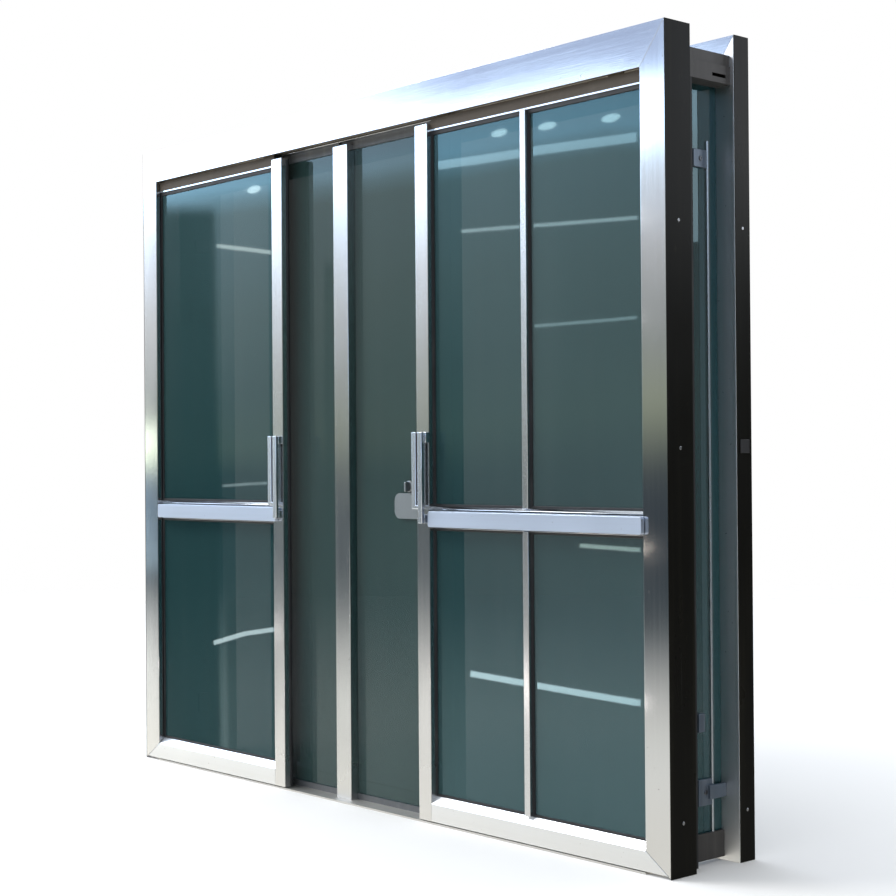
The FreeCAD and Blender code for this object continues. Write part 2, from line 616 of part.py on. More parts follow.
def make_rails(side, field):
    """Top, middle and bottom rails. The bottom rail's outer end is mitred to the post."""
    start, end = field
    length = f"({end}) - ({start})"
    back, glass, bite = "leaf_depth", "glass_front", "glass_bite"
    deep = "leaf_glass + 2 * gasket_wall"
    near = f"{glass} - gasket_wall"
    far = f"{near} + {deep}"
    tall = "top_rail_high - top_rail_low"
    lip = f"{tall} - top_lip"
    keep(bar(f"{side}_top_rail", "YZ_Plane",
             [("0", lip), ("0", tall), (f"{back} - top_rail_setback", tall),
              (f"{back} - top_rail_setback", "0"), (f"{far} - top_rail_setback", "0"),
              (f"{far} - top_rail_setback", lip)],
             length, start, "top_rail_setback", "top_rail_low"))

    high = "mid_rail_high - mid_rail_low"
    shift = "mid_rail_setback"
    keep(bar(f"{side}_mid_rail", "YZ_Plane",
             [("0", "0"), ("0", f"{high} - mid_bead_drop"), ("mid_bead_depth", high),
              (f"{near} - {shift}", high),
              (f"{near} - {shift}", f"{high} - {bite}"),
              (f"{far} - {shift}", f"{high} - {bite}"), (f"{far} - {shift}", high),
              (f"{back} - {shift}", high), (f"{back} - {shift}", "0"),
              (f"{far} - {shift}", "0"), (f"{far} - {shift}", bite),
              (f"{near} - {shift}", bite), (f"{near} - {shift}", "0")],
             length, start, shift, "mid_rail_low"))

    groove = "guide_front"
    foot = "leaf_foot"
    reach = "post_face + jamb_gap - cover_wall - 1"
    bottom_start = f"{start} - ({reach})" if side == "left" else start
    bottom = bar(f"{side}_bottom_rail", "YZ_Plane",
                 [("0", "0"), ("0", f"bottom_rail_high - {foot}"),
                  ("bead_setback", f"bead_high - {foot}"), (near, f"bead_high - {foot}"),
                  (near, f"bead_high - {foot} - bottom_groove"),
                  (far, f"bead_high - {foot} - bottom_groove"),
                  (far, f"bead_high - {foot}"), (back, f"bead_high - {foot}"), (back, "0"),
                  (f"{groove} + guide_width", "0"),
                  (f"{groove} + guide_width", "guide_groove"), (groove, "guide_groove"),
                  (groove, "0")],
                 f"{length} + {reach}", bottom_start, "0", foot)
    slope = "bottom_rail_high / post_face"
    jamb_foot = "bottom_rail_high - leaf_foot"
    cap = f"bead_high - {foot} + 1"
    if side == "left":
        notch(bottom, "XZ_Plane",
              [("-1", f"({slope}) * cover_wall - {foot}"), (f"{reach} - jamb_gap", jamb_foot),
               (reach, jamb_foot), (reach, cap), ("-1", cap)])
    else:
        turn = f"({length}) + jamb_gap"
        last = f"{length} + {reach}"
        notch(bottom, "XZ_Plane",
              [(f"{last} + 1", f"({slope}) * cover_wall - {foot}"), (turn, jamb_foot),
               (length, jamb_foot), (length, cap), (f"{last} + 1", cap)])
    keep(bottom)


def make_panes(side, field, meeting_seal):
    """Upper and lower panes in dark gaskets, split by a glazing bar in the right leaf."""
    start, end = field
    glass_y = ("glass_front", "glass_front + leaf_glass")
    seal_y = ("glass_front - gasket_depth", "glass_front")
    rows = {"upper": ("mid_rail_high - glass_bite + 1", "top_rail_high - top_lip - 1",
                      "mid_rail_high", "top_rail_high - top_lip", "top_rail_low"),
            "lower": ("bead_high - bottom_groove + 1", "mid_rail_low + glass_bite - 1",
                      "bead_high", "mid_rail_low", "mid_rail_low")}
    if side == "left":
        spans = {"": (f"{start} + 2", f"{end} - 1")}
    else:
        spans = {"_inner": (f"{start} + 1", "bar_centre - 2"),
                 "_outer": ("bar_centre + 2", f"{end} - 2")}
    seals = [meeting_seal]
    for row, (low, high, seal_low, seal_high, back_high) in rows.items():
        panes = []
        for part, (x_low, x_high) in spans.items():
            panes.append(block(f"{side}_{row}_pane{part}", (x_low, x_high), glass_y,
                               (low, high)))
            from_x = start if x_low != "bar_centre + 2" else "bar_centre + bar_face / 2"
            to_x = end if x_high != "bar_centre - 2" else "bar_centre - bar_face / 2"
            name = f"{side}_{row}_seal{part}"
            sight = "gasket_sight" if row == "upper" else "gasket_face"
            frame_outer = block(name + "_outer", (from_x, to_x), seal_y,
                                (seal_low, seal_high))
            frame_inner = block(name + "_inner",
                                (f"{from_x} + gasket_face", f"{to_x} - gasket_face"),
                                ("glass_front - gasket_depth - 1", "glass_front + 1"),
                                (f"{seal_low} + gasket_face", f"{seal_high} - {sight}"))
            seals.append(cut(name, frame_outer, [frame_inner]))
        keep(joined(f"{side}_{row}_glass", panes))
    edge_x = (start, f"{start} + edge_strip") if side == "left" else \
        (f"{end} - edge_strip", end)
    wrap_x = (start, f"{start} + edge_wrap") if side == "left" else \
        (f"{end} - edge_wrap", end)
    for row, (low, high, seal_low, seal_high, back_high) in rows.items():
        seals.append(block(f"{side}_{row}_edge_strip", edge_x,
                           ("glass_front", "leaf_depth"), (seal_low, back_high)))
        seals.append(block(f"{side}_{row}_edge_back", wrap_x,
                           ("glass_front + leaf_glass", "leaf_depth"),
                           (seal_low, back_high)))
    keep(joined(f"{side}_gaskets", seals))
    if side == "right":
        bars = []
        for row, (low, high, seal_low, seal_high, back_high) in rows.items():
            bars.append(block(f"glazing_bar_{row}",
                              ("bar_centre - bar_face / 2", "bar_centre + bar_face / 2"),
                              ("bar_front", "glass_front"), (seal_low, seal_high)))
            bars.append(block(f"glazing_web_{row}",
                              ("bar_centre - bar_web_half", "bar_centre + bar_web_half"),
                              ("glass_front", "glass_front + leaf_glass"),
                              (seal_low, seal_high)))
            bars.append(block(f"glazing_back_{row}",
                              ("bar_centre - bar_face / 2", "bar_centre + bar_face / 2"),
                              ("glass_front + leaf_glass", "leaf_depth"),
                              (seal_low, back_high)))
        keep(joined("glazing_bar", bars))


def make_push_rail(side, field):
    """A flat rail across the leaf, its ends rounded, on a full-length backer."""
    start, end = f"{side}_push_start", f"{side}_push_end"
    body = doc.addObject("PartDesign::Body", f"{side}_push_plate")
    length, height = f"{end} - {start}", "push_high - push_low"
    sketch = outline(body, "XZ_Plane", [("0", "0"), (length, "0"), (length, height),
                                        ("0", height)])
    pad = body.newObject("PartDesign::Pad", "Pad")
    pad.Profile = sketch
    pad.setExpression("Length", say("push_wall"))
    doc.recompute()
    corners = [f"Edge{number}" for number, edge in enumerate(pad.Shape.Edges, start=1)
               if abs(edge.Vertexes[0].Y - edge.Vertexes[-1].Y) > 1]
    ends = body.newObject("PartDesign::Fillet", "Ends")
    ends.Base = (pad, corners)
    ends.setExpression("Radius", say("push_wall / 2"))
    place(body, start, "push_wall - push_proud", "push_low")
    backer = (field[0] + " + backer_outer", "left_push_end - backer_left_end") \
        if side == "left" else \
        ("right_push_start + backer_right_start", field[1] + " - backer_outer")
    rib = block(f"{side}_push_backer", backer, ("push_wall - push_proud", "mid_rail_setback"),
                ("push_low + backer_drop", "push_high - backer_drop"))
    keep(joined(f"{side}_push_rail", [body, rib]))


def make_handle(side, stile):
    """A pull of two upright grips between a full bracket and a low foot."""
    middle = f"(({stile[0]}) + ({stile[1]})) / 2"
    out = "-handle_proud"
    inside = "grip_depth - handle_proud"
    grips = []
    for number, (sign, low) in enumerate((("-", "tie_low"), ("+", "handle_low"))):
        near = f"{middle} {sign} grip_gap / 2"
        x = (f"{near} - grip_width", near) if sign == "-" else (near, f"{near} + grip_width")
        grips.append(block(f"{side}_grip_{number}", x, (out, inside), (low, "handle_high")))
    full = (f"{middle} - grip_gap / 2 - grip_width", f"{middle} + grip_gap / 2 + grip_width")
    grips.append(block(f"{side}_grip_tie", full, (out, inside),
                       ("tie_low", "tie_low + tie_height")))
    keep(joined(f"{side}_grips", grips))
    foot_x = (f"{middle} + grip_gap / 2", full[1])
    top_bracket = block(f"{side}_top_bracket", full, (inside, "0"),
                        ("handle_high - bracket_height", "handle_high"))
    tab_x = (full[1], f"{full[1]} + tab_width") if side == "right" else \
        (f"{full[0]} - tab_width", full[0])
    tab = block(f"{side}_bracket_tab", tab_x, (inside, "0"),
                ("handle_high - bracket_tab", "handle_high"))
    foot = block(f"{side}_foot_bracket", foot_x, (inside, "0"),
                 ("handle_low", "handle_low + bracket_height"))
    keep(joined(f"{side}_handle_brackets", [top_bracket, foot, tab]))


def make_carriages(side, stile, outer):
    """Two hangers with a pair of wheels each, riding on the track's lips."""
    sign = "-" if side == "left" else "+"
    far = "+" if side == "left" else "-"
    inner_centre = f"{side}_stile_edge {sign} hanger_inset"
    outer_centre = f"{outer} {far} hanger_inset"
    axle_z = "track_low + track_wall + wheel_play + wheel_radius"
    plates, bolts = [], []
    for which, centre in (("inner", inner_centre), ("outer", outer_centre)):
        half = "hanger_length / 2"
        name = f"{side}_{which}"
        plate_y = (f"{TRACK_MIDDLE} - hanger_wall / 2", f"{TRACK_MIDDLE} + hanger_wall / 2")
        plate = block(f"{name}_plate", (f"{centre} - {half}", f"{centre} + {half}"), plate_y,
                      ("top_rail_high", f"{axle_z} + hanger_over"))
        foot = block(f"{name}_foot", (f"{centre} - {half}", f"{centre} + {half}"),
                     ("top_rail_setback", "leaf_depth"),
                     ("top_rail_high", "top_rail_high + foot_height"))
        hole = rod(f"{name}_axle_hole", "y", centre, f"{TRACK_MIDDLE} - hanger_wall", axle_z,
                   "axle_radius + axle_fit", "hanger_wall * 2")
        whole = joined(f"{name}_hanger_blank", [plate, foot])
        plates.append(cut(f"{name}_hanger", whole, [hole]))
        for number, off in enumerate("-+"):
            bolts.append(rod(f"{name}_bolt_{number}", "z", f"{centre} {off} bolt_spread",
                             "top_rail_setback + bolt_head_radius + mitre_gap",
                             "top_rail_high + foot_height", "bolt_head_radius",
                             "bolt_head_tall"))
        axle = rod(f"{name}_axle", "y", centre, f"{TRACK_MIDDLE} - axle_half", axle_z,
                   "axle_radius", "axle_half * 2")
        wheels = []
        for number, gap in enumerate(("-(hanger_wall / 2 + wheel_clear + wheel_width)",
                                      "+(hanger_wall / 2 + wheel_clear)")):
            wheels.append(rod(f"{name}_wheel_{number}", "y", centre,
                              f"{TRACK_MIDDLE} {gap}", axle_z, "wheel_radius",
                              "wheel_width"))
        keep(joined(f"{name}_roller", [axle] + wheels))
    keep(joined(f"{side}_hangers", plates))
    keep(joined(f"{side}_hanger_bolts", bolts))


leaf("left")
leaf("right")

# ---------------------------------------------------------------- stops, guides, keeper
bolt_keeper = block("lock_keeper_blank", BOLT_X, ("leaf_depth", f"{BOLT_Y} + bolt_radius * 2"),
                    ("keeper_low", "keeper_low + keeper_wall"))
keep(cut("lock_keeper", bolt_keeper, [
    rod("lock_keeper_hole", "z", "bolt_centre", BOLT_Y, "keeper_low - 1", "bolt_radius + 1",
        "keeper_wall + 2")]))

stop_z = ("track_low + track_wall", "track_high - track_wall - 1")
stop_y = ("track_front + track_wall", "track_back - track_wall")
stops = []
for side, sign, far in (("left", "-", "+"), ("right", "+", "-")):
    centre = (f"{side}_stile_edge {sign} hanger_inset"
              f" {far} (slide_travel + hanger_length / 2 + stop_gap)")
    other = f"{centre} {far} stop_length"
    x = (centre, other) if side == "left" else (other, centre)
    stops.append(block(f"{side}_travel_stop", x, stop_y, stop_z))
keep(joined("track_stops", stops))

guides = []
for side, sign, far in (("left", "-", "-"), ("right", "+", "+")):
    near = f"{side}_stile_edge {sign} guide_inset"
    other = f"{near} {far} guide_length"
    x = (other, near) if side == "left" else (near, other)
    guides.append(block(f"{side}_guide", x,
                        ("guide_front + guide_play", "guide_front + guide_width - guide_play"),
                        ("sill_height", "leaf_foot + guide_groove - guide_clear")))
keep(joined("floor_guides", guides))

# ---------------------------------------------------------------- build, check, write
doc.recompute()
for thing in doc.Objects:
    if {"Invalid", "Error"} & set(thing.State):
        raise ValueError(f"{thing.Label} did not build: {thing.State}")
os.makedirs("parts", exist_ok=True)
for piece in SUBPARTS:
    if piece.Shape.isNull() or not piece.Shape.isValid():
        raise ValueError(f"{piece.Label} has no valid shape")
    piece.Shape.exportStep(os.path.join("parts", piece.Label + ".step"))
    size = piece.Shape.BoundBox
    print(f"{piece.Label:26s} {len(piece.Shape.Solids):3d} solids "
          f"x {size.XMin:8.1f} {size.XMax:8.1f}  y {size.YMin:7.1f} {size.YMax:7.1f} "
          f" z {size.ZMin:7.1f} {size.ZMax:7.1f}")
print(len(SUBPARTS), "sub-parts")
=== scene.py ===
# %% [markdown]
# A glazed sliding door unit in stainless steel, dressed for a portrait.
#
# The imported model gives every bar, pane and bracket its true place. This lesson
# loads it, sets up a small studio, and then gives each surface the finish that the
# real one has: brushed steel with its grain running along each bar, tinted glass,
# black rubber, dark covers. Where a plain solid is too crisp, a finer piece is
# made and stands in for it.

# %% load the frame
import json
import math

import bmesh
import bpy
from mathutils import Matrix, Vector

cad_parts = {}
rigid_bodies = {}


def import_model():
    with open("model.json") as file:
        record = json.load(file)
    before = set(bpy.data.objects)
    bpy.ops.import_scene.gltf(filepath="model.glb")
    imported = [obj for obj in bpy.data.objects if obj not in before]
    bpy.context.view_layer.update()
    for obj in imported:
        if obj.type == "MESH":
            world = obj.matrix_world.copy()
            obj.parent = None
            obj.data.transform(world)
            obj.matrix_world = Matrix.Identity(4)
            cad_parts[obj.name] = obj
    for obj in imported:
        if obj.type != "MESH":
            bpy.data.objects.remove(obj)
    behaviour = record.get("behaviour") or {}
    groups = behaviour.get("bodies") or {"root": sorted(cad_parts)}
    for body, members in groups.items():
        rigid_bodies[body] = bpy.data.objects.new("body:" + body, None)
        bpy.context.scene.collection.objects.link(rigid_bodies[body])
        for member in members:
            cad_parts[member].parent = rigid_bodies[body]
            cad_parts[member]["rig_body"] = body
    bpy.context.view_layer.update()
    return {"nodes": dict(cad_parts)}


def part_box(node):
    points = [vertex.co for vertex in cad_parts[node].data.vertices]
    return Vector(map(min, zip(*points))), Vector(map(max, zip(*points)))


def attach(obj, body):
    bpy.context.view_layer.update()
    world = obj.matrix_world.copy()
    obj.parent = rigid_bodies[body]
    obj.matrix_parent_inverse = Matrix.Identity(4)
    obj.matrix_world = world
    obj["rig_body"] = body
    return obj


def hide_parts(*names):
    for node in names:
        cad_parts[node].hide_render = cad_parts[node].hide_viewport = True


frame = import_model()
nodes = frame["nodes"]

# %% [markdown]
# The camera comes first, because everything else is judged through it. It stands to
# the right of the unit at chest height and looks almost level, turned well to the left,
# so the front is foreshortened and the right-hand end shows. A slight roll of less than
# half a degree tips the horizon as a hand-held view does. The turn is written as
# three directions: where the lens looks, which way is right, and which way is up.

# %% camera
EYE = Vector((4.5427, -3.7775, 1.1687))
TURN, TILT, ROLL = (math.radians(a) for a in (48.597, 0.4325, -0.4228))

ahead = Vector((-math.sin(TURN) * math.cos(TILT), math.cos(TURN) * math.cos(TILT),
                math.sin(TILT)))
level = Vector((math.cos(TURN), math.sin(TURN), 0.0))
above = level.cross(ahead)
to_right = level * math.cos(ROLL) + above * math.sin(ROLL)
to_top = above * math.cos(ROLL) - level * math.sin(ROLL)

lens = bpy.data.cameras.new("portrait_lens")
lens.sensor_width, lens.lens = 36.0, 68.83
camera = bpy.data.objects.new("portrait_camera", lens)
bpy.context.scene.collection.objects.link(camera)
pose = camera.matrix_world.to_3x3()
for row in range(3):
    pose[row] = (to_right[row], to_top[row], -ahead[row])
camera.matrix_world = pose.to_4x4()
camera.location = EYE
bpy.context.scene.camera = camera
print("camera at", tuple(round(v, 2) for v in EYE), "lens", lens.lens, "mm")

# %% [markdown]
# Shaders and Geometry Nodes are both graphs, and both read better as formulas than
# as lists of links. `Wire` stands for one value that leaves a node. Adding, taking
# away or multiplying wires adds the Math nodes that do it, and the reflected forms
# let a plain number stand first, as in `1 - mask`. `Bench` puts any other node on
# the tree: its settings first, then its inputs, each a number or a wire.

# %% wires and benches
class Wire:
    """A value that leaves a node. Arithmetic on it adds Math nodes."""

    def __init__(self, bench, socket):
        self.bench, self.socket = bench, socket

    def maths(self, operation, first, second=0.0):
        return self.bench.add("ShaderNodeMath", {"operation": operation},
                              {0: first, 1: second})

    def __add__(self, other):
        return self.maths("ADD", self, other)

    def __radd__(self, other):
        return self.maths("ADD", other, self)

    def __sub__(self, other):
        return self.maths("SUBTRACT", self, other)

    def __rsub__(self, other):
        return self.maths("SUBTRACT", other, self)

    def __mul__(self, other):
        return self.maths("MULTIPLY", self, other)

    def __rmul__(self, other):
        return self.maths("MULTIPLY", other, self)

    def __truediv__(self, other):
        return self.maths("DIVIDE", self, other)

    def ramp(self, low, high, start=0.0, end=1.0):
        """A smooth climb from start to end as the value goes from low to high."""
        return self.bench.add("ShaderNodeMapRange", {"interpolation_type": "SMOOTHSTEP"},
                              {0: self, 1: low, 2: high, 3: start, 4: end})

    def clamped(self):
        return self.bench.add("ShaderNodeClamp", {}, {0: self})


class Bench:
    """A node tree in the making."""

    def __init__(self, tree):
        self.tree = tree

    def add(self, kind, settings=None, inputs=None, output=0):
        node = self.tree.nodes.new(kind)
        for name, value in (settings or {}).items():
            setattr(node, name, value)
        for key, value in (inputs or {}).items():
            if isinstance(value, Wire):
                self.tree.links.new(value.socket, node.inputs[key])
            else:
                node.inputs[key].default_value = value
        return Wire(self, node.outputs[output])

    def join(self, wire, node, key):
        self.tree.links.new(wire.socket, node.inputs[key])


class ShaderBench(Bench):
    """A material's tree, with the shortcuts that surfaces need."""

    def mix(self, factor, first, second):
        """Two colours blended by a factor."""
        return self.add("ShaderNodeMix", {"data_type": "RGBA"},
                        {0: factor, 6: first, 7: second}, output=2)

    def place(self, scale=(1.0, 1.0, 1.0)):
        """A point on the surface in metres, stretched by a scale along each axis."""
        spot = self.add("ShaderNodeTexCoord", output="Object")
        return self.add("ShaderNodeMapping", {}, {"Vector": spot, "Scale": scale})

    def noise(self, where, detail, roughness):
        return self.add("ShaderNodeTexNoise", {},
                        {"Vector": where, "Scale": 1.0, "Detail": detail,
                         "Roughness": roughness})

    def bump(self, height, distance, strength=1.0, under=None):
        inputs = {"Height": height, "Distance": distance, "Strength": strength}
        if under:
            inputs["Normal"] = under
        return self.add("ShaderNodeBump", {}, inputs)


def start_material(name):
    """An empty material, and the bench to fill it on."""
    material = bpy.data.materials.new(name)
    material.use_nodes = True
    material.node_tree.nodes.clear()
    return material, ShaderBench(material.node_tree)


def surface(bench, inputs):
    """Ends a material in one Principled shader."""
    shader = bench.add("ShaderNodeBsdfPrincipled", {}, inputs)
    out = bench.tree.nodes.new("ShaderNodeOutputMaterial")
    bench.join(shader, out, "Surface")


print("helpers ready")

# %% [markdown]
# The studio is plain. The unit needs a pale floor to stand on, which takes a soft
# shadow. A square plane would do, but its edge would show, so the floor is a disc
# whose alpha fades out before it ends. It is kept out of reflections.

# %% floor
def disc(name, radius, rings, height):
    """A flat disc of rings and spokes, wide enough to stand anything on."""
    mesh = bmesh.new()
    spokes = 64
    angles = [2 * math.pi * spoke / spokes for spoke in range(spokes)]
    circles = []
    for ring in range(1, rings + 1):
        reach = radius * ring / rings
        circles.append([mesh.verts.new((reach * math.cos(angle), reach * math.sin(angle),
                                        height)) for angle in angles])
    centre = mesh.verts.new((0, 0, height))
    for s in range(spokes):
        after = (s + 1) % spokes
        mesh.faces.new((centre, circles[0][s], circles[0][after]))
        for inner, outer in zip(circles, circles[1:]):
            mesh.faces.new((inner[s], outer[s], outer[after], inner[after]))
    data = bpy.data.meshes.new(name)
    mesh.to_mesh(data)
    mesh.free()
    piece = bpy.data.objects.new(name, data)
    bpy.context.scene.collection.objects.link(piece)
    return piece


FLOOR_SOLID, FLOOR_GONE = 5.0, 11.0

floor = disc("studio_floor", 12.0, 6, -0.001)
material, bench = start_material("pale_floor")
spot = bench.add("ShaderNodeTexCoord", output="Object")
reach = bench.add("ShaderNodeVectorMath", {"operation": "LENGTH"}, {0: spot}, output="Value")
surface(bench, {"Base Color": (0.97, 0.945, 0.905, 1.0), "Roughness": 0.85,
                "Specular IOR Level": 0.2,
                "Alpha": reach.ramp(FLOOR_SOLID, FLOOR_GONE, 1.0, 0.0)})
floor.data.materials.append(material)
floor.visible_glossy = False
print("floor fades out between", FLOOR_SOLID, "and", FLOOR_GONE, "m")

# %% [markdown]
# Polished metal and glass have no look of their own, they show what is around them,
# so the surrounding light has the shape of an open place: a bright sky from about ten
# degrees up, a darker band like far trees and walls at eye level, and pale ground. A
# few trunks stand against it, and the bright side is on the front left. It could be a
# picture wrapped round the scene, but a ramp over height can be tuned stop by stop,
# and every stop shows up as one band in the steel. Seen directly it is plain white.

# %% surrounding light
PALE = (1.0, 1.0, 1.0, 1.0)
SKYLINE = [
    (-1.0, (1.15, 1.12, 1.05)), (-0.18, (1.12, 1.10, 1.03)), (-0.14, (0.95, 0.93, 0.85)),
    (-0.099, (0.34, 0.35, 0.34)), (-0.082, (0.07, 0.09, 0.10)), (-0.03, (0.04, 0.055, 0.07)),
    (-0.008, (0.05, 0.065, 0.08)), (0.014, (0.38, 0.41, 0.30)), (0.056, (0.40, 0.42, 0.40)),
    (0.103, (0.70, 0.70, 0.69)), (0.144, (0.95, 1.02, 1.12)), (0.162, (1.1, 1.2, 1.3)),
    (0.168, (2.5, 3.7, 4.7)), (0.192, (2.7, 3.3, 4.2)), (0.203, (0.58, 0.70, 0.98)),
    (0.45, (0.74, 0.85, 1.02)), (1.0, (1.50, 1.50, 1.48)),
]
DIM_SIDE = 0.30
LEVEL_EAST, TILT_RATE = 0.756, 0.24     # where the sky's lower edge is level, its climb
# Trunks and posts against the horizon, and one bright gap: bearing, half width, how
# much light is left there, and the heights that it lies between.
TRUNKS = [(1.549, 0.050, 0.12, -0.9, 0.140), (1.289, 0.018, 0.35, 0.0, 0.110),
          (1.437, 0.042, 0.40, -0.9, -0.085), (1.680, 0.060, 5.5, -0.055, 0.015)]

world = bpy.data.worlds.new("surrounding_light")
world.use_nodes = True
world.node_tree.nodes.clear()
bench = ShaderBench(world.node_tree)
look = bench.add("ShaderNodeTexCoord", output="Generated")
split = world.node_tree.nodes.new("ShaderNodeSeparateXYZ")
bench.join(look, split, 0)
east, north, height = (Wire(bench, split.outputs[axis]) for axis in range(3))
ripple = bench.add("ShaderNodeTexNoise", {}, {"Vector": look, "Scale": 2.6, "Detail": 2.0})
# The horizon climbs a little toward the east, and slow noise keeps it from being ruled.
slope = bench.add("ShaderNodeClamp", {}, {0: (east + LEVEL_EAST) * TILT_RATE,
                                          1: -0.03, 2: 0.02})
bearing = east / north
shade = 1.0
for at, half, left_over, low, high in TRUNKS:
    near = bearing.maths("ABSOLUTE", bearing - at).ramp(half, half + 0.006, 1.0, 0.0)
    inside = height.ramp(low - 0.01, low) * height.ramp(high, high + 0.01, 1.0, 0.0)
    shade = shade * (1.0 - near * inside * (1.0 - left_over))
height = height - slope * height.ramp(-0.05, 0.05, -0.7, 1.0) + (ripple - 0.5) * 0.006
sky = bench.add("ShaderNodeValToRGB", {}, {0: height * 0.5 + 0.5})
ramp = sky.socket.node.color_ramp
while len(ramp.elements) < len(SKYLINE):
    ramp.elements.new(0.5)
for stop, (level_at, colour) in zip(ramp.elements, SKYLINE):
    stop.position = level_at * 0.5 + 0.5
for stop, (level_at, colour) in zip(ramp.elements, SKYLINE):
    stop.color = (*colour, 1.0)
# The light falls off toward the back right. It is stronger in the far west, where the
# upper sky doubles as well, and past the first trunk.
facing = (east * 0.75 + north * 0.66).ramp(-0.35, 0.75, 1.0, DIM_SIDE)
facing = facing * east.ramp(-0.90, -0.66, 1.45, 1.0) * bearing.ramp(1.605, 1.62, 1.0, 1.5)
cloud = east.ramp(-0.765, -0.725, 1.0, 0.0) * height.ramp(0.19, 0.205)
facing = facing * shade * (1.0 + cloud)
dimmed = bench.add("ShaderNodeVectorMath", {"operation": "SCALE"}, {0: sky, 3: facing})
plain = bench.add("ShaderNodeLightPath", output="Is Camera Ray")
glow = bench.add("ShaderNodeBackground", {}, {0: bench.mix(plain, dimmed, PALE)})
out = world.node_tree.nodes.new("ShaderNodeOutputWorld")
bench.join(glow, out, "Surface")
bpy.context.scene.world = world
bpy.context.scene.view_settings.view_transform = "Standard"
print("sky stops:", len(ramp.elements))

# %% [markdown]
# One broad soft lamp stands high on the front left and gives the shadows a side. A
# second, weaker one keeps the far end and the back from going flat. The thin strips
# are lamps too: long low tubes in front of the unit, set only to shine in gloss, so
# they draw the pale lines that any glass front picks up from what stands before it. A
# few small round ones do the same for ceiling lights.

# %% lamps
def lamp(name, where, towards, size, power, colour=(1, 1, 1), gloss_only=False, shape=None):
    """An area lamp aimed at a point; a gloss-only lamp shows in reflections alone."""
    data = bpy.data.lights.new(name, "AREA")
    data.shape = shape or "RECTANGLE"
    data.size, data.size_y = size
    data.energy, data.color = power, colour
    piece = bpy.data.objects.new(name, data)
    bpy.context.scene.collection.objects.link(piece)
    piece.location = where
    aim = Vector(towards) - Vector(where)
    piece.rotation_euler = aim.to_track_quat("-Z", "Y").to_euler()
    piece.visible_camera = False
    if gloss_only:
        piece.visible_diffuse = piece.visible_transmission = False
    return piece


lamp("soft_key", (-4.6, -4.4, 7.0), (0, 0, 1.1), (3.6, 2.8), 330, (1.0, 0.985, 0.96))
lamp("soft_fill", (3.6, 4.6, 3.4), (0, 0, 1.0), (2.6, 2.0), 50, (0.93, 0.96, 1.0))

# Each strip: its name, how far back it lies (y), its two ends as (x, z), its width, its
# glow and its colour.
STRIPS = [
    ("upper_blue", -6.0, (-6.38, 3.66), (-4.07, 3.57), 0.072, 5.5, (0.9, 0.95, 1.0)),
    ("upper_pale", -6.0, (-6.03, 3.07), (-4.07, 2.97), 0.028, 6.0, (1.0, 0.9, 0.85)),
    ("middle", -6.0, (-5.26, 2.23), (-4.08, 2.22), 0.023, 4.0, (1.0, 0.95, 0.9)),
    ("low_right", -1.8, (-1.31, 0.19), (-0.26, 0.16), 0.028, 12.0, (1.0, 0.9, 0.85)),
    ("waist_right", -4.0, (-2.75, 0.65), (-2.25, 0.64), 0.024, 8.0, (1.0, 0.85, 0.7)),
    ("upper_left", -6.0, (-9.63, 3.31), (-8.75, 3.16), 0.036, 6.0, (1.0, 0.9, 0.8)),
    ("low_left", -1.6, (-3.12, 0.21), (-2.83, 0.28), 0.024, 8.0, (1.0, 0.93, 0.88)),
    ("low_left_end", -1.6, (-2.83, 0.28), (-2.57, 0.32), 0.023, 8.0, (1.0, 0.93, 0.88)),
    ("middle_left", -6.0, (-9.57, 0.94), (-8.76, 0.97), 0.024, 3.0, (1.0, 0.95, 0.9)),
]


def strip(name, y, start, end, width, strength, colour):
    """A long thin lamp between two points, facing the unit."""
    (x0, z0), (x1, z1) = start, end
    length = math.hypot(x1 - x0, z1 - z0)
    middle = Vector(((x0 + x1) / 2, y, (z0 + z1) / 2))
    piece = lamp(name, middle, middle + Vector((0, 1, 0)), (length, width),
                 strength * math.pi * length * width, colour, gloss_only=True)
    piece.rotation_euler = (math.radians(90), math.atan2(z0 - z1, x1 - x0), 0)


for row in STRIPS:
    strip(*row)

# Small round ceiling lights, flattened by the low view: their x, z and width.
ROUNDS = [(-5.56, 3.82, 0.146), (-5.01, 3.79, 0.146), (-4.33, 3.75, 0.146),
          (-9.02, 3.79, 0.174)]
ROUNDS_Y, ROUND_WIDE, ROUND_HIGH, ROUND_GLOW, ROUND_SHARE = -6.0, 1.3, 0.42, 7.0, 0.55
for number, (x, z, width) in enumerate(ROUNDS):
    middle = Vector((x, ROUNDS_Y, z))
    lamp(f"round_{number}", middle, middle + Vector((0, 1, 0)),
         (width * ROUND_WIDE, width * ROUND_HIGH),
         ROUND_GLOW * math.pi * width * width * ROUND_SHARE, (1.0, 0.97, 0.92),
         gloss_only=True, shape="ELLIPSE")
print("lamps:", 2 + len(STRIPS) + len(ROUNDS))

# %% [markdown]
# Brushed stainless steel is polished with a belt, so it carries fine parallel lines,
# always along the bar. They blur a reflection across the grain only. The sheet is
# also never quite flat: a folded box bows by a fraction of a millimetre, which bends
# reflections into soft pools. Both are made as height for a Bump node, the grain from
# noise stretched a few hundred times along the bar, the bowing from wide slow noise.
# Handling leaves duller patches, and the foot of an outdoor frame holds dust. The warm pale
# film towards the foot is partly that dust and partly a painted reflection of the pale
# ground.

# %% brushed steel
GRAIN_ALONG = {"x": (0.004, 1.0, 1.0), "z": (1.0, 1.0, 0.004)}
HAIRS, LINES = 900, 150                 # to the metre, across the grain


def stretched(axis, pitch):
    """Mapping scale for lines along an axis, with so many to the metre across it."""
    return tuple(factor * pitch for factor in GRAIN_ALONG[axis])


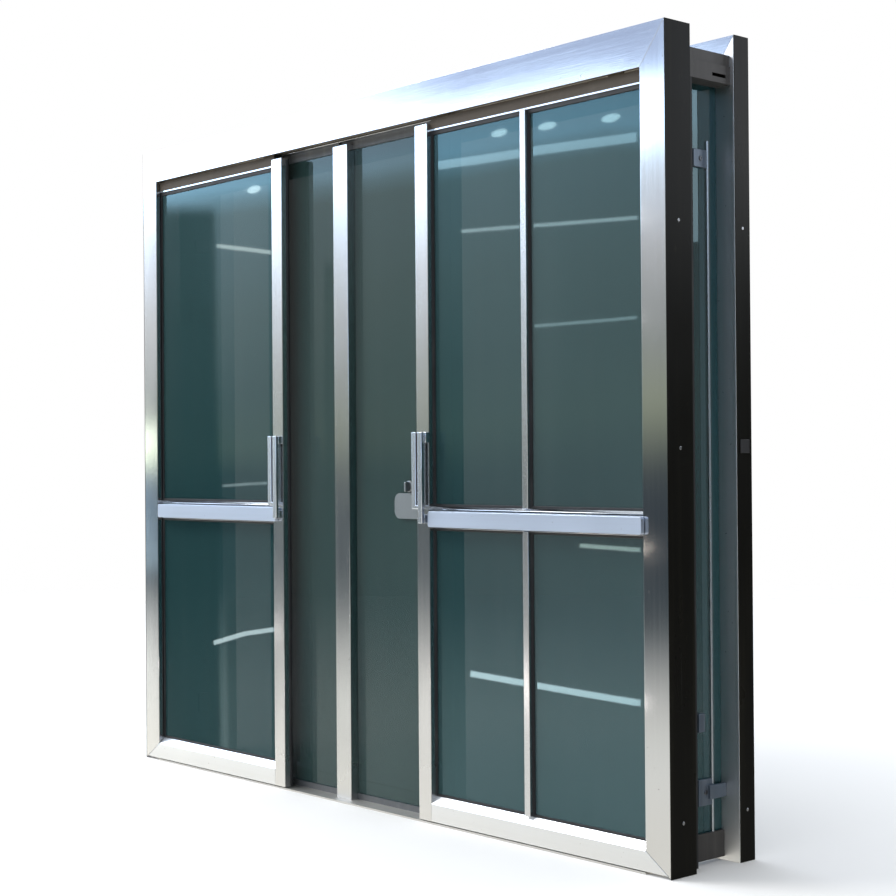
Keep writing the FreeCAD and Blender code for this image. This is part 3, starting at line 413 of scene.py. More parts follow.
def brushed_steel(name, axis, colour, dull, bow=0.0016, dust_and_reflection_height=0.0):
    """Satin steel with its grain along an axis. Up to the given height it turns warmer and
    duller: dust, and a painted reflection of the pale ground.
    """
    material, bench = start_material(name)
    hairs = bench.noise(bench.place(stretched(axis, HAIRS)), 2.0, 0.7)
    lines = bench.noise(bench.place(stretched(axis, LINES)), 3.0, 0.6)
    slow = bench.noise(bench.place((2.2, 2.2, 1.5)), 1.0, 0.4)
    patches = bench.noise(bench.place((3.5, 3.5, 2.0)), 2.0, 0.5)
    specks = bench.noise(bench.place((110.0, 110.0, 110.0)), 1.0, 0.5)
    handled = patches.ramp(0.35, 0.75)
    pits = specks.ramp(0.77, 0.80)
    shade = (lines - 0.5) * 0.5 + 0.5
    worn = tuple(0.86 * part for part in colour)
    tone = bench.mix(shade, (*worn, 1.0), (*colour, 1.0))
    tone = bench.mix(pits * 0.6, tone, (0.16, 0.15, 0.14, 1.0))
    matt = dull + (lines - 0.5) * 0.05 + handled * 0.03
    # Towards the foot the tone fades to a warm pale film: partly dust, partly a painted
    # reflection of the pale ground.
    if dust_and_reflection_height:
        height = bench.add("ShaderNodeSeparateXYZ", {}, {0: bench.place()}, output=2)
        film = height.ramp(0.0, dust_and_reflection_height, 1.0, 0.0) * (0.5 + patches * 0.6)
        tone = bench.mix(film * 0.5, tone, (0.66, 0.63, 0.57, 1.0))
        matt = matt + film * 0.2
    bowed = bench.bump(slow, bow, 1.0)
    ground = bench.bump(hairs, 0.00003, 0.6, bowed)
    dented = bench.bump(pits * -1.0, 0.0002, 0.5, ground)
    surface(bench, {"Base Color": tone, "Metallic": 1.0, "Roughness": matt.clamped(),
                    "Normal": dented})
    return material


STEEL = (0.64, 0.66, 0.69)
upright_steel = brushed_steel("upright_steel", "z", STEEL, 0.075, dust_and_reflection_height=0.4)
# The rear posts are the same steel with a lighter, duller base. The lighter base is painted
# light, making up for the dark gap that their front faces reflect.
rear_steel_painted_light = brushed_steel("rear_upright_steel_painted_light", "z", (0.84, 0.85, 0.86), 0.42, dust_and_reflection_height=0.4)
level_steel = brushed_steel("level_steel", "x", STEEL, 0.07)
stile_steel = brushed_steel("stile_steel", "z", (0.74, 0.75, 0.77), 0.15, dust_and_reflection_height=0.4)
mullion_steel = brushed_steel("mullion_steel", "z", (0.66, 0.68, 0.70), 0.13, dust_and_reflection_height=0.4)
bar_steel = brushed_steel("glazing_bar_steel", "z", (0.68, 0.69, 0.71), 0.22)
foot_steel = brushed_steel("foot_rail_steel", "x", (0.84, 0.87, 0.91), 0.22, dust_and_reflection_height=0.12)
push_steel = brushed_steel("push_rail_steel", "x", (0.58, 0.65, 0.78), 0.36, 0.0006)
fitting_steel = brushed_steel("fitting_steel", "z", (0.70, 0.74, 0.80), 0.24, 0.0003)
lock_steel = brushed_steel("lock_steel", "z", (0.30, 0.32, 0.33), 0.34, 0.0003)
# Dark brown hangers: painted shade of the gap under the header, where they hang.
shaded_hanger_steel = brushed_steel("hanger_steel_painted_shade", "x", (0.24, 0.21, 0.17), 0.5, 0.0003)
sill_steel = brushed_steel("worn_sill_steel", "x", (0.60, 0.59, 0.57), 0.36, dust_and_reflection_height=0.4)
print("steel finishes made")

# %% [markdown]
# Painted and coated parts are the next family: the near-black covers on the ends,
# the dark grey duct between the two frames, and the blue-grey pane clamps. The covers'
# near-black is painted shade: it stands in for end faces that turn away from the light.
# Paint has a faint orange-peel texture, picks up pale scuffs, and greys where rain runs.
# The covers reflect very little, so their specular level is turned down as well.

# %% painted covers
def painted(name, colour, scuff, dull=0.42, peel=0.00006, gloss=0.5, metal=0.0, rain=0.5):
    """A coat of paint with orange peel, scuffs and rain marks."""
    material, bench = start_material(name)
    ripple = bench.noise(bench.place((420.0, 420.0, 420.0)), 2.0, 0.5)
    cloud = bench.noise(bench.place((5.0, 5.0, 2.5)), 4.0, 0.6)
    runs = bench.noise(bench.place((34.0, 34.0, 0.9)), 3.0, 0.6)
    rubs = bench.noise(bench.place((90.0, 60.0, 14.0)), 3.0, 0.6)
    tone = bench.mix(runs.ramp(0.45, 0.75) * rain, (*colour, 1.0), (*scuff, 1.0))
    tone = bench.mix(rubs.ramp(0.66, 0.74) * 0.6, tone, (*scuff, 1.0))
    matt = dull + (cloud - 0.5) * 0.24
    surface(bench, {"Base Color": tone, "Metallic": metal, "Roughness": matt.clamped(),
                    "Specular IOR Level": gloss,
                    "Normal": bench.bump(ripple, peel, 0.5)})
    return material


# Near-black painted shade for the end covers, whose faces turn away from the light.
cover_painted_shade = painted("end_cover_painted_shade", (0.0058, 0.0054, 0.0042), (0.016, 0.014, 0.009),
                      0.30, gloss=0.10)
duct_paint = painted("duct_paint", (0.050, 0.045, 0.042), (0.085, 0.078, 0.070), 0.5,
                     gloss=0.4)
channel_paint = painted("channel_paint", (0.085, 0.088, 0.090), (0.14, 0.14, 0.135), 0.42)
clamp_finish = painted("clamp_finish", (0.13, 0.16, 0.20), (0.26, 0.29, 0.33), 0.34,
                       metal=0.6)
strike_paint = painted("strike_plate_paint", (0.02, 0.019, 0.02), (0.09, 0.085, 0.08),
                       0.38, rain=0.2)
print("paints made")

# %% [markdown]
# The hidden and working parts: bronze-anodised aluminium with faint drawing lines for
# the track, moulded nylon for wheels and guides, and rubber for the seals. Rubber is
# matt, but greys along its length where dust settles in the fine moulding lines.

# %% track, nylon, rubber, bolts
def drawn_aluminium(name):
    """Bronze-anodised aluminium with the die's lines along its length."""
    material, bench = start_material(name)
    lines = bench.noise(bench.place(stretched("x", 420)), 3.0, 0.7)
    bloom = bench.noise(bench.place((6.0, 6.0, 6.0)), 3.0, 0.6)
    tone = bench.mix(bloom.ramp(0.4, 0.7), (0.30, 0.26, 0.205, 1.0),
                     (0.24, 0.21, 0.165, 1.0))
    surface(bench, {"Base Color": tone, "Metallic": 0.7,
                    "Roughness": (0.44 + lines * 0.14).clamped(),
                    "Normal": bench.bump(lines, 0.00005, 0.6)})
    return material


def moulded(name, colour, pale, dull, pitch, depth):
    """Nylon or rubber: a fine grain all over and paler where it is rubbed or dusty."""
    material, bench = start_material(name)
    grain = bench.noise(bench.place((pitch, pitch, pitch)), 3.0, 0.6)
    dusty = bench.noise(bench.place((18.0, 18.0, 6.0)), 4.0, 0.6)
    tone = bench.mix(dusty.ramp(0.45, 0.8) * 0.5, (*colour, 1.0), (*pale, 1.0))
    surface(bench, {"Base Color": tone, "Roughness": (dull + (grain - 0.5) * 0.2).clamped(),
                    "Normal": bench.bump(grain, depth, 0.5)})
    return material


def turned_metal(name, colour, dull):
    """Bolt and screw heads, cut on a lathe and darkened in random stains."""
    material, bench = start_material(name)
    grain = bench.noise(bench.place((700.0, 700.0, 700.0)), 2.0, 0.5)
    stain = bench.noise(bench.place((120.0, 120.0, 120.0)), 2.0, 0.5)
    tone = bench.mix(stain.ramp(0.5, 0.75) * 0.5, (*colour, 1.0), (0.22, 0.20, 0.18, 1.0))
    surface(bench, {"Base Color": tone, "Metallic": 1.0,
                    "Roughness": (dull + (grain - 0.5) * 0.12).clamped(),
                    "Normal": bench.bump(grain, 0.00002, 0.4)})
    return material


track_metal = drawn_aluminium("track_aluminium")
black_nylon = moulded("black_nylon", (0.022, 0.022, 0.024), (0.07, 0.07, 0.07), 0.45, 900.0,
                      0.00004)
seal_rubber = moulded("seal_rubber", (0.010, 0.010, 0.011), (0.045, 0.045, 0.042), 0.62,
                      600.0, 0.00008)
screw_metal = turned_metal("screw_metal", (0.50, 0.51, 0.53), 0.26)
dark_screw = turned_metal("blued_screw_metal", (0.16, 0.17, 0.19), 0.3)
print("working finishes made")

# %% [markdown]
# The panes are solar glass with a grey-green body tint. A real pane takes most of
# the light that enters it, so from outside in daylight it looks nearly solid, with a
# little of what stands behind it showing through, and sharp reflections on top. A
# Principled shader with a dark teal base, low roughness and an alpha just under one
# gives the same balance, and it exports cleanly. Rain dust adds a faint film in
# vertical runs, and the slow ripple of toughened glass bends its reflections a bit.

# %% glass
def solar_glass(name, body, deep, through, bend=1.55, tint=(0.45, 0.85, 1.0)):
    """Tinted glass that lets a share of light straight through its two faces."""
    material, bench = start_material(name)
    wave = bench.noise(bench.place((1.6, 1.6, 1.1)), 1.0, 0.4)
    cloud = bench.noise(bench.place((1.2, 1.2, 0.6)), 2.0, 0.5)
    runs = bench.noise(bench.place((30.0, 30.0, 0.5)), 2.0, 0.5)
    film = (runs.ramp(0.45, 0.85) * 0.5 + cloud.ramp(0.45, 0.8) * 0.5) * 0.06
    tone = bench.mix(cloud.ramp(0.3, 0.7), (*deep, 1.0), (*body, 1.0))
    tone = bench.mix(film, tone, (0.20, 0.22, 0.21, 1.0))
    surface(bench, {"Base Color": tone, "Roughness": (0.02 + film * 0.2).clamped(),
                    "IOR": bend, "Specular Tint": (*tint, 1.0),
                    "Alpha": 1.0 - math.sqrt(through),
                    "Normal": bench.bump(wave, 0.0006, 1.0)})
    return material


leaf_glass = solar_glass("leaf_glass", (0.022, 0.056, 0.057), (0.016, 0.047, 0.048), 0.03)
light_glass = solar_glass("fixed_light_glass", (0.024, 0.056, 0.052), (0.018, 0.044, 0.041),
                          0.02, 1.38, (0.8, 0.95, 1.0))
side_glass = solar_glass("side_pane_glass", (0.006, 0.044, 0.046), (0.004, 0.030, 0.034),
                         0.02)
print("glass finishes made")

# %% [markdown]
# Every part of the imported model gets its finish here. A finish goes onto a part's
# material slots, so its shape and place stay exactly as they were.

# %% finishes onto parts
FINISHES = {
    upright_steel: ["front_left_post", "front_right_post"],
    rear_steel_painted_light: ["rear_left_post", "rear_right_post"],
    stile_steel: ["left_meeting_stile", "right_meeting_stile"],
    mullion_steel: ["mullion"],
    bar_steel: ["glazing_bar"],
    level_steel: ["front_header", "rear_header", "left_top_rail", "right_top_rail",
                  "left_mid_rail", "right_mid_rail"],
    foot_steel: ["left_bottom_rail", "right_bottom_rail"],
    sill_steel: ["front_sill", "rear_sill"],
    push_steel: ["left_push_rail", "right_push_rail"],
    fitting_steel: ["left_grips", "right_grips", "left_handle_brackets",
                    "right_handle_brackets", "edge_rods"],
    lock_steel: ["lock_case", "thumb_turn", "lock_keeper", "lock_bolt"],
    shaded_hanger_steel: ["left_hangers", "right_hangers"],
    cover_painted_shade: ["end_covers"],
    strike_paint: ["strike_plates"],
    duct_paint: ["duct_tray", "duct_lid", "end_ties"],
    channel_paint: ["light_jambs", "light_channels"],
    clamp_finish: ["glass_clamps"],
    track_metal: ["header_track", "track_brackets", "track_stops"],
    black_nylon: ["left_inner_roller", "left_outer_roller", "right_inner_roller",
                  "right_outer_roller", "floor_guides"],
    seal_rubber: ["left_gaskets", "right_gaskets"],
    screw_metal: ["cover_screws", "left_hanger_bolts", "right_hanger_bolts"],
    dark_screw: ["clamp_screws"],
    leaf_glass: ["left_upper_glass", "left_lower_glass", "right_upper_glass",
                 "right_lower_glass"],
    light_glass: ["light_panes"],
    side_glass: ["side_panes"],
}


def dress(piece, material):
    """Puts one finish on every slot of a piece."""
    if not piece.data.materials:
        piece.data.materials.append(material)
    for number in range(len(piece.material_slots)):
        piece.material_slots[number].material = material


for material, names in FINISHES.items():
    for name in names:
        dress(nodes[name], material)
bare = sorted(set(nodes) - {name for names in FINISHES.values() for name in names})
print("parts still bare:", bare)

# %% [markdown]
# Real bars are never knife-edged. A folded or machined edge is rounded over by a
# millimetre or so, and that sliver catches the light along the whole bar. The packed
# parts are made of loose triangles, so a copy is merged first, its flat faces are
# joined up again, and only the sharp edges are bevelled. The copy then stands in for
# the part, on the same body and with the same finish. A check stops the script if a
# copy is left open or loses more of its volume than a fine bevel can take.

# %% eased copies
MOST_CHANGE = 0.06


def settle(name, mesh, material, body, stands_for=()):
    """Turns a bmesh into a finished piece: its finish, body, slot and what it hides."""
    bmesh.ops.recalc_face_normals(mesh, faces=mesh.faces)
    data = bpy.data.meshes.new(name)
    mesh.to_mesh(data)
    mesh.free()
    settle_mesh(name, data, material, body, stands_for)


def settle_mesh(name, data, material, body, stands_for=()):
    """The same for a mesh that is already made."""
    piece = bpy.data.objects.new(name, data)
    bpy.context.scene.collection.objects.link(piece)
    dress(piece, material)
    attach(piece, body)
    if stands_for:
        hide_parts(*stands_for)


def merged(node):
    """A joined-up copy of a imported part, its flat faces whole again."""
    mesh = bmesh.new()
    mesh.from_mesh(nodes[node].data)
    bmesh.ops.remove_doubles(mesh, verts=mesh.verts, dist=0.00001)
    bmesh.ops.dissolve_limit(mesh, angle_limit=math.radians(1.0), verts=mesh.verts,
                             edges=mesh.edges)
    return mesh


def eased(node, width):
    """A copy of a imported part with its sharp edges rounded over."""
    mesh = merged(node)
    before = mesh.calc_volume()
    sharp = [edge for edge in mesh.edges
             if edge.is_manifold and edge.calc_face_angle(0.0) > math.radians(30)]
    rounds = set(bmesh.ops.bevel(mesh, geom=sharp, offset=width, segments=2,
                                 profile=0.5, affect="EDGES",
                                 clamp_overlap=True)["faces"])
    for face in mesh.faces:
        face.smooth = face in rounds
    open_edges = sum(not edge.is_manifold for edge in mesh.edges)
    change = mesh.calc_volume() / before - 1
    if open_edges or abs(change) > MOST_CHANGE:
        raise ValueError(f"{node}: {open_edges} open edges, volume {change:+.3f}")
    print(f"{node:24s} {len(sharp):4d} edges eased, volume {change:+.4f}")
    settle(node + "_eased", mesh, nodes[node].material_slots[0].material,
           nodes[node]["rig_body"], [node])


EASED = {
    0.0016: ["left_grips", "right_grips", "left_handle_brackets", "right_handle_brackets",
             "glass_clamps"],
    0.0012: ["left_push_rail", "right_push_rail", "mullion", "strike_plates"],
    0.0008: ["front_header", "rear_header", "front_left_post", "front_right_post",
             "rear_left_post", "rear_right_post", "left_meeting_stile",
             "right_meeting_stile", "left_mid_rail", "right_mid_rail", "left_bottom_rail",
             "right_bottom_rail", "left_top_rail", "right_top_rail", "light_jambs",
             "duct_lid", "end_ties", "glazing_bar"],
}
for width, names in EASED.items():
    for name in names:
        eased(name, width)

# %% [markdown]
# Screws repeat, so one Geometry Nodes tree makes a head and sets it on every point.
# The head grows from a filled circle: pushed up for its wall, up again and in for its
# shoulder, in once more for the rim of the socket, whose points are pulled onto a
# hexagon, and then down for the recess. With twenty-four sides it is a button head,
# with six a hexagon bolt. Each point carries the direction that its screw looks in.

# %% the screw tree
def geometry_tree(name, inputs):
    """A Geometry Nodes tree with named inputs, its bench, and a wire for each input."""
    tree = bpy.data.node_groups.new(name, "GeometryNodeTree")
    tree.interface.new_socket("Geometry", in_out="INPUT",
                              socket_type="NodeSocketGeometry")
    for label, kind, value in inputs:
        socket = tree.interface.new_socket(label, in_out="INPUT", socket_type=kind)
        if value is not None:
            socket.default_value = value
    tree.interface.new_socket("Geometry", in_out="OUTPUT",
                              socket_type="NodeSocketGeometry")
    bench = Bench(tree)
    source = tree.nodes.new("NodeGroupInput")
    return tree, bench, {socket.name: Wire(bench, socket) for socket in source.outputs
                         if socket.name}


def end_tree(bench, shape, finish):
    """Realize Instances, Set Material, and out."""
    real = bench.add("GeometryNodeRealizeInstances", {}, {0: shape})
    dressed = bench.add("GeometryNodeSetMaterial", {}, {"Geometry": real,
                                                        "Material": finish})
    out = bench.tree.nodes.new("NodeGroupOutput")
    bench.join(dressed, out, 0)


def raised(bench, shape, chosen, climb):
    """Pushes chosen faces up by a climb; gives the shape and its new top."""
    up = bench.add("ShaderNodeCombineXYZ", {}, {0: 0.0, 1: 0.0, 2: climb})
    wall = bench.add("GeometryNodeExtrudeMesh", {"mode": "FACES"},
                     {"Mesh": shape, "Selection": chosen, "Offset": up,
                      "Offset Scale": 1.0})
    return wall, Wire(bench, wall.socket.node.outputs["Top"])


def drawn_in(bench, shape, chosen, scale):
    """Shrinks chosen faces toward their middle."""
    return bench.add("GeometryNodeScaleElements", {"domain": "FACE"},
                     {"Geometry": shape, "Selection": chosen, "Scale": scale})


tree, bench, given = geometry_tree("screw_heads", [
    ("Sides", "NodeSocketInt", 24), ("Radius", "NodeSocketFloat", 0.005),
    ("Height", "NodeSocketFloat", 0.003), ("Socket", "NodeSocketFloat", 0.0022),
    ("Depth", "NodeSocketFloat", 0.0018), ("Finish", "NodeSocketMaterial", None)])
SHOULDER, WALL_SHARE = 0.80, 0.62
base = bench.add("GeometryNodeMeshCircle", {"fill_type": "NGON"},
                 {"Vertices": given["Sides"], "Radius": given["Radius"]})
wall, top = raised(bench, base, True, given["Height"] * WALL_SHARE)
crown, top = raised(bench, wall, top, given["Height"] * (1.0 - WALL_SHARE))
crown = drawn_in(bench, crown, top, SHOULDER)
rim, top = raised(bench, crown, top, 0.0)
rim = drawn_in(bench, rim, top, given["Socket"] / (given["Radius"] * SHOULDER))
spot = bench.add("GeometryNodeInputPosition")
apart = bench.add("ShaderNodeSeparateXYZ", {}, {0: spot})
east, north, height = (Wire(bench, socket) for socket in apart.socket.node.outputs)
angle = east.maths("ARCTAN2", north, east)
slice_angle = angle.maths("FLOORED_MODULO", angle, math.radians(60)) - math.radians(30)
reach = given["Socket"] * 0.9 / slice_angle.maths("COSINE", slice_angle)
hexagon = bench.add("ShaderNodeCombineXYZ", {},
                    {0: reach * angle.maths("COSINE", angle),
                     1: reach * angle.maths("SINE", angle), 2: height})
rim = bench.add("GeometryNodeSetPosition", {}, {"Geometry": rim, "Selection": top,
                                                "Position": hexagon})
head, top = raised(bench, rim, top, given["Depth"] * -1.0)
under = bench.add("GeometryNodeFlipFaces", {}, {0: base})
whole = bench.tree.nodes.new("GeometryNodeJoinGeometry")
bench.join(head, whole, 0)
bench.join(under, whole, 0)
closed = bench.add("GeometryNodeMergeByDistance", {},
                   {"Geometry": Wire(bench, whole.outputs[0]), "Distance": 0.00001})
aim = bench.add("GeometryNodeInputNamedAttribute", {"data_type": "FLOAT_VECTOR"},
                {"Name": "aim"})
turn = bench.add("FunctionNodeAlignRotationToVector", {"axis": "Z"}, {"Vector": aim})
placed = bench.add("GeometryNodeInstanceOnPoints", {},
                   {"Points": given["Geometry"], "Instance": closed, "Rotation": turn})
end_tree(bench, placed, given["Finish"])
screw_tree = tree
print("screw tree:", len(tree.nodes), "nodes")

# %% [markdown]
# A tree needs something to run on. Each grown piece starts from a small mesh of points
# or lines and gets the tree as a modifier with its own sizes. What comes out is read
# back as a plain mesh, so the finished piece carries no modifier.

# %% grow a tree
def grown(name, tree, start, values, body, stands_for=()):
    """Runs a tree on a starting mesh and settles what it makes as a plain piece."""
    seed = bpy.data.objects.new(name + "_seed", start)
    bpy.context.scene.collection.objects.link(seed)
    modifier = seed.modifiers.new("grow", "NODES")
    modifier.node_group = tree
    for socket in tree.interface.items_tree:
        if socket.in_out == "INPUT" and socket.name in values:
            modifier[socket.identifier] = values[socket.name]
    seed.update_tag()
    bpy.context.view_layer.update()
    ready = seed.evaluated_get(bpy.context.evaluated_depsgraph_get())
    made = bpy.data.meshes.new_from_object(ready)
    seed.modifiers.remove(modifier)
    bpy.data.objects.remove(seed)
    made.name = name
    settle_mesh(name, made, values["Finish"], body, stands_for)
    print(f"{name:24s} {len(made.polygons):5d} faces")


def islands(node):
    """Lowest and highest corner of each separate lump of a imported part."""
    mesh = merged(node)
    left, boxes = set(mesh.verts), []
    while left:
        queue, lump = [left.pop()], []
        while queue:
            vert = queue.pop()
            lump.append(vert.co.copy())
            for edge in vert.link_edges:
                other = edge.other_vert(vert)
                if other in left:
                    left.remove(other)
                    queue.append(other)
        boxes.append((Vector(min(co[i] for co in lump) for i in range(3)),
                      Vector(max(co[i] for co in lump) for i in range(3))))
    mesh.free()
    return sorted(boxes, key=lambda box: tuple(box[0]))


def screw_points(places):
    """A mesh of bare points, each with the direction that its screw looks in."""
    data = bpy.data.meshes.new("screw_points")
    data.from_pydata([point for point, aim in places], [], [])
    aims = data.attributes.new("aim", "FLOAT_VECTOR", "POINT")
    aims.data.foreach_set("vector", [part for point, aim in places for part in aim])
    return data


print("ready to grow:", [tree.name for tree in bpy.data.node_groups])

# %% [markdown]
# The end covers are held by three screws each, the pane clamps by a bigger one on
# each cheek, and each hanger foot by two small hexagon bolts. Their places come from
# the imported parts, lump by lump.

# %% screws and bolts
def sideways(box, middle_x, sunk=None):
    """A screw that looks away from a plane at middle_x. Its foot is at the near end of
    its lump, or just under the far end where a sunk depth is given."""
    low, high = box
    right = (low.x + high.x) / 2 > middle_x
    aim = Vector((1.0 if right else -1.0, 0, 0))
    near, far = (low.x, high.x) if right else (high.x, low.x)
    foot = near if sunk is None else far - aim.x * sunk
    return Vector((foot, (low.y + high.y) / 2, (low.z + high.z) / 2)), aim


COVER_SCREW_SUNK = 0.0004
cover_places = [sideways(box, 0.0, COVER_SCREW_SUNK) for box in islands("cover_screws")]
grown("cover_screw_heads", screw_tree, screw_points(cover_places),
      {"Sides": 24, "Radius": 0.0050, "Height": 0.0014, "Socket": 0.0021, "Depth": 0.001,
       "Finish": screw_metal}, "surround", ["cover_screws"])

panes = islands("side_panes")
clamp_places = []
for box in islands("clamp_screws"):
    pane = min(panes, key=lambda p: abs(p[0].x - box[0].x))
    clamp_places.append(sideways(box, (pane[0].x + pane[1].x) / 2))
grown("clamp_screw_heads", screw_tree, screw_points(clamp_places),
      {"Sides": 24, "Radius": 0.0070, "Height": 0.0030, "Socket": 0.0030, "Depth": 0.002,
       "Finish": dark_screw}, "surround", ["clamp_screws"])

for side in ("left", "right"):
    name = f"{side}_hanger_bolts"
    places = [(Vector(((low.x + high.x) / 2, (low.y + high.y) / 2, low.z)),
               Vector((0, 0, 1))) for low, high in islands(name)]
    grown(f"{side}_hanger_bolt_heads", screw_tree, screw_points(places),
          {"Sides": 6, "Radius": 0.0027, "Height": 0.0048, "Socket": 0.0013,
           "Depth": 0.001, "Finish": screw_metal}, f"{side}_leaf", [name])

# %% [markdown]
# A pane is held by a rubber seal with a round lip that presses on the glass. The lip
# is a circle swept along each pane's sight line, with small corner radii: a shape
# that follows a rule, so a second tree makes it. It starts from a mesh of closed
# loops, one for each pane, and turns them to curves.

# %% the seal tree
tree, bench, given = geometry_tree("seal_lip", [
    ("Radius", "NodeSocketFloat", 0.0018), ("Corner", "NodeSocketFloat", 0.004),
    ("Finish", "NodeSocketMaterial", None)])
path = bench.add("GeometryNodeMeshToCurve", {}, {"Mesh": given["Geometry"]})
rounded = bench.add("GeometryNodeFilletCurve", {"mode": "POLY"},
                    {"Curve": path, "Radius": given["Corner"], "Count": 4})
profile = bench.add("GeometryNodeCurvePrimitiveCircle", {"mode": "RADIUS"},
                    {"Resolution": 10, "Radius": given["Radius"]})
swept = bench.add("GeometryNodeCurveToMesh", {},
                  {"Curve": rounded, "Profile Curve": profile})
end_tree(bench, swept, given["Finish"])
seal_tree = tree

SEAL_FACE, HEAD_SEAL, TOP_LIP = 0.006, 0.012, 0.010
LIP_RADIUS, LIP_OFF_GLASS = 0.0018, 0.0012
for side in ("left", "right"):
    rail, head_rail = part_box(f"{side}_mid_rail"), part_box(f"{side}_top_rail")
    foot_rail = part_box(f"{side}_bottom_rail")
    glass_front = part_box(f"{side}_upper_glass")[0].y
    edges = [(rail[0].x, rail[1].x)]
    if side == "right":
        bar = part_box("glazing_bar")
        edges = [(rail[0].x, bar[0].x), (bar[1].x, rail[1].x)]
    rows = [(rail[1].z + SEAL_FACE, head_rail[1].z - TOP_LIP - HEAD_SEAL),
            (foot_rail[1].z + SEAL_FACE, rail[0].z - SEAL_FACE)]
    corners, loops = [], []
    for x0, x1 in edges:
        for z0, z1 in rows:
            first = len(corners)
            y = glass_front - LIP_OFF_GLASS
            corners += [(x0 + SEAL_FACE, y, z0), (x1 - SEAL_FACE, y, z0),
                        (x1 - SEAL_FACE, y, z1), (x0 + SEAL_FACE, y, z1)]
            loops += [(first, first + 1), (first + 1, first + 2), (first + 2, first + 3),
                      (first + 3, first)]
    start = bpy.data.meshes.new(f"{side}_sight_lines")
    start.from_pydata(corners, loops, [])
    grown(f"{side}_seal_lips", seal_tree, start,
          {"Radius": LIP_RADIUS, "Corner": 0.004, "Finish": seal_rubber}, f"{side}_leaf")

# %% [markdown]
# Between the two upright grips of each pull runs a black rubber strip, set back a
# little, which reads as a dark line down the middle of the handle. It is painted shade: a
# dark sheet put in the gap between the grips, where there is only shadow. Behind the front
# posts a ribbed black seal closes the joint toward the side panes. Both are drawn as a
# short section and pulled to length.

# %% grip shade strips and ribbed seals
def pulled(mesh, section, low, high):
    """A closed bar: an outline of (x, y) points pulled from one height to another."""
    rings = [[mesh.verts.new((x, y, z)) for x, y in section] for z in (low, high)]
    count = len(section)
    for number in range(count):
        after = (number + 1) % count
        mesh.faces.new((rings[0][number], rings[0][after], rings[1][after],
                        rings[1][number]))
    for ring in rings:
        mesh.faces.new(ring)


# The strip between the grips is painted shade: black rubber put where the gap between them
# lies in shadow.
GRIP_SHADE_HALF, GRIP_SHADE_BACK, GRIP_SHADE_CROWN = 0.0045, 0.0022, 0.0012
GRIP_SHADE_FOOT, GRIP_SHADE_TOP = 0.058, 0.003
for side in ("left", "right"):
    low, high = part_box(f"{side}_grips")
    middle, set_back, arc = (low.x + high.x) / 2, low.y + GRIP_SHADE_BACK, []
    for step in range(7):
        turn_by = math.pi * step / 6
        arc.append((middle - GRIP_SHADE_HALF * math.cos(turn_by),
                    set_back + GRIP_SHADE_CROWN - GRIP_SHADE_CROWN * math.sin(turn_by)))
    section = arc + [(middle + GRIP_SHADE_HALF, high.y), (middle - GRIP_SHADE_HALF, high.y)]
    mesh = bmesh.new()
    pulled(mesh, section, low.z + GRIP_SHADE_FOOT, high.z - GRIP_SHADE_TOP)
    settle(f"{side}_grip_shade_strip", mesh, seal_rubber, f"{side}_leaf")

RIB_PITCH, RIB_TALL, RIB_LOW, SEAL_INSET, SEAL_GAP = 0.008, 0.0145, 0.0115, 0.004, 0.0002
post_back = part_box("front_right_post")[1].y
seal_low, seal_high = 0.012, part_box("duct_tray")[0].z - SEAL_INSET
mesh = bmesh.new()
for outer, inward in ((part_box("front_right_post")[1].x - SEAL_INSET, -1),
                      (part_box("front_left_post")[0].x + SEAL_INSET, 1)):
    ribs = []
    for step in range(5):
        x = outer + inward * step * RIB_PITCH
        ribs += [(x, post_back + RIB_TALL), (x + inward * RIB_PITCH / 2, post_back + RIB_LOW)]
    end = ribs[-1][0]
    pulled(mesh, ribs + [(end, post_back + SEAL_GAP), (outer, post_back + SEAL_GAP)],
           seal_low, seal_high)
settle("post_back_seals", mesh, seal_rubber, "surround")
print("grip shade strips and seals made")

# %% [markdown]
# A brush strip stands on top of each leaf, in front of the hangers, and closes the
# gap under the header against dust and draught. Its dark brown is painted shade of that
# gap, and a painted reflection of the brown that the header's underside shows. It is a
# dense row of tufts in a thin carrier. The tufts repeat, so a third tree makes one and
# sets it on every point of a row, each cut a little shorter than the next at random,
# with a fixed seed.

# %% brush strips
def slab(mesh, low, high):
    """A closed box from its lowest to its highest corner."""
    for vert in bmesh.ops.create_cube(mesh, size=1.0)["verts"]:
        vert.co = Vector((low[i] + high[i]) / 2 + vert.co[i] * (high[i] - low[i])
                         for i in range(3))


# Dark brown brush: painted shade of the gap under the header, and a painted reflection of the
# header's underside.
brush_painted_shade = moulded("brush_painted_shade", (0.058, 0.042, 0.026), (0.080, 0.062, 0.042), 0.7, 300.0,
                     0.0001)
tree, bench, given = geometry_tree("brush_tufts", [
    ("Width", "NodeSocketFloat", 0.004), ("Depth", "NodeSocketFloat", 0.002),
    ("Height", "NodeSocketFloat", 0.03), ("Uneven", "NodeSocketFloat", 0.03),
    ("Seed", "NodeSocketInt", 7), ("Finish", "NodeSocketMaterial", None)])
size = bench.add("ShaderNodeCombineXYZ", {}, {0: given["Width"], 1: given["Depth"],
                                              2: given["Height"]})
tuft = bench.add("GeometryNodeMeshCube", {}, {"Size": size})
lift = bench.add("ShaderNodeCombineXYZ", {}, {0: 0.0, 1: 0.0, 2: given["Height"] * 0.5})
tuft = bench.add("GeometryNodeTransform", {}, {"Geometry": tuft, "Translation": lift})
short = bench.add("FunctionNodeRandomValue", {"data_type": "FLOAT"},
                  {2: 1.0 - given["Uneven"], 3: 1.0, "Seed": given["Seed"]}, output=1)
cut_to = bench.add("ShaderNodeCombineXYZ", {}, {0: 1.0, 1: 1.0, 2: short})
placed = bench.add("GeometryNodeInstanceOnPoints", {},
                   {"Points": given["Geometry"], "Instance": tuft, "Scale": cut_to})
end_tree(bench, placed, given["Finish"])
brush_tree = tree

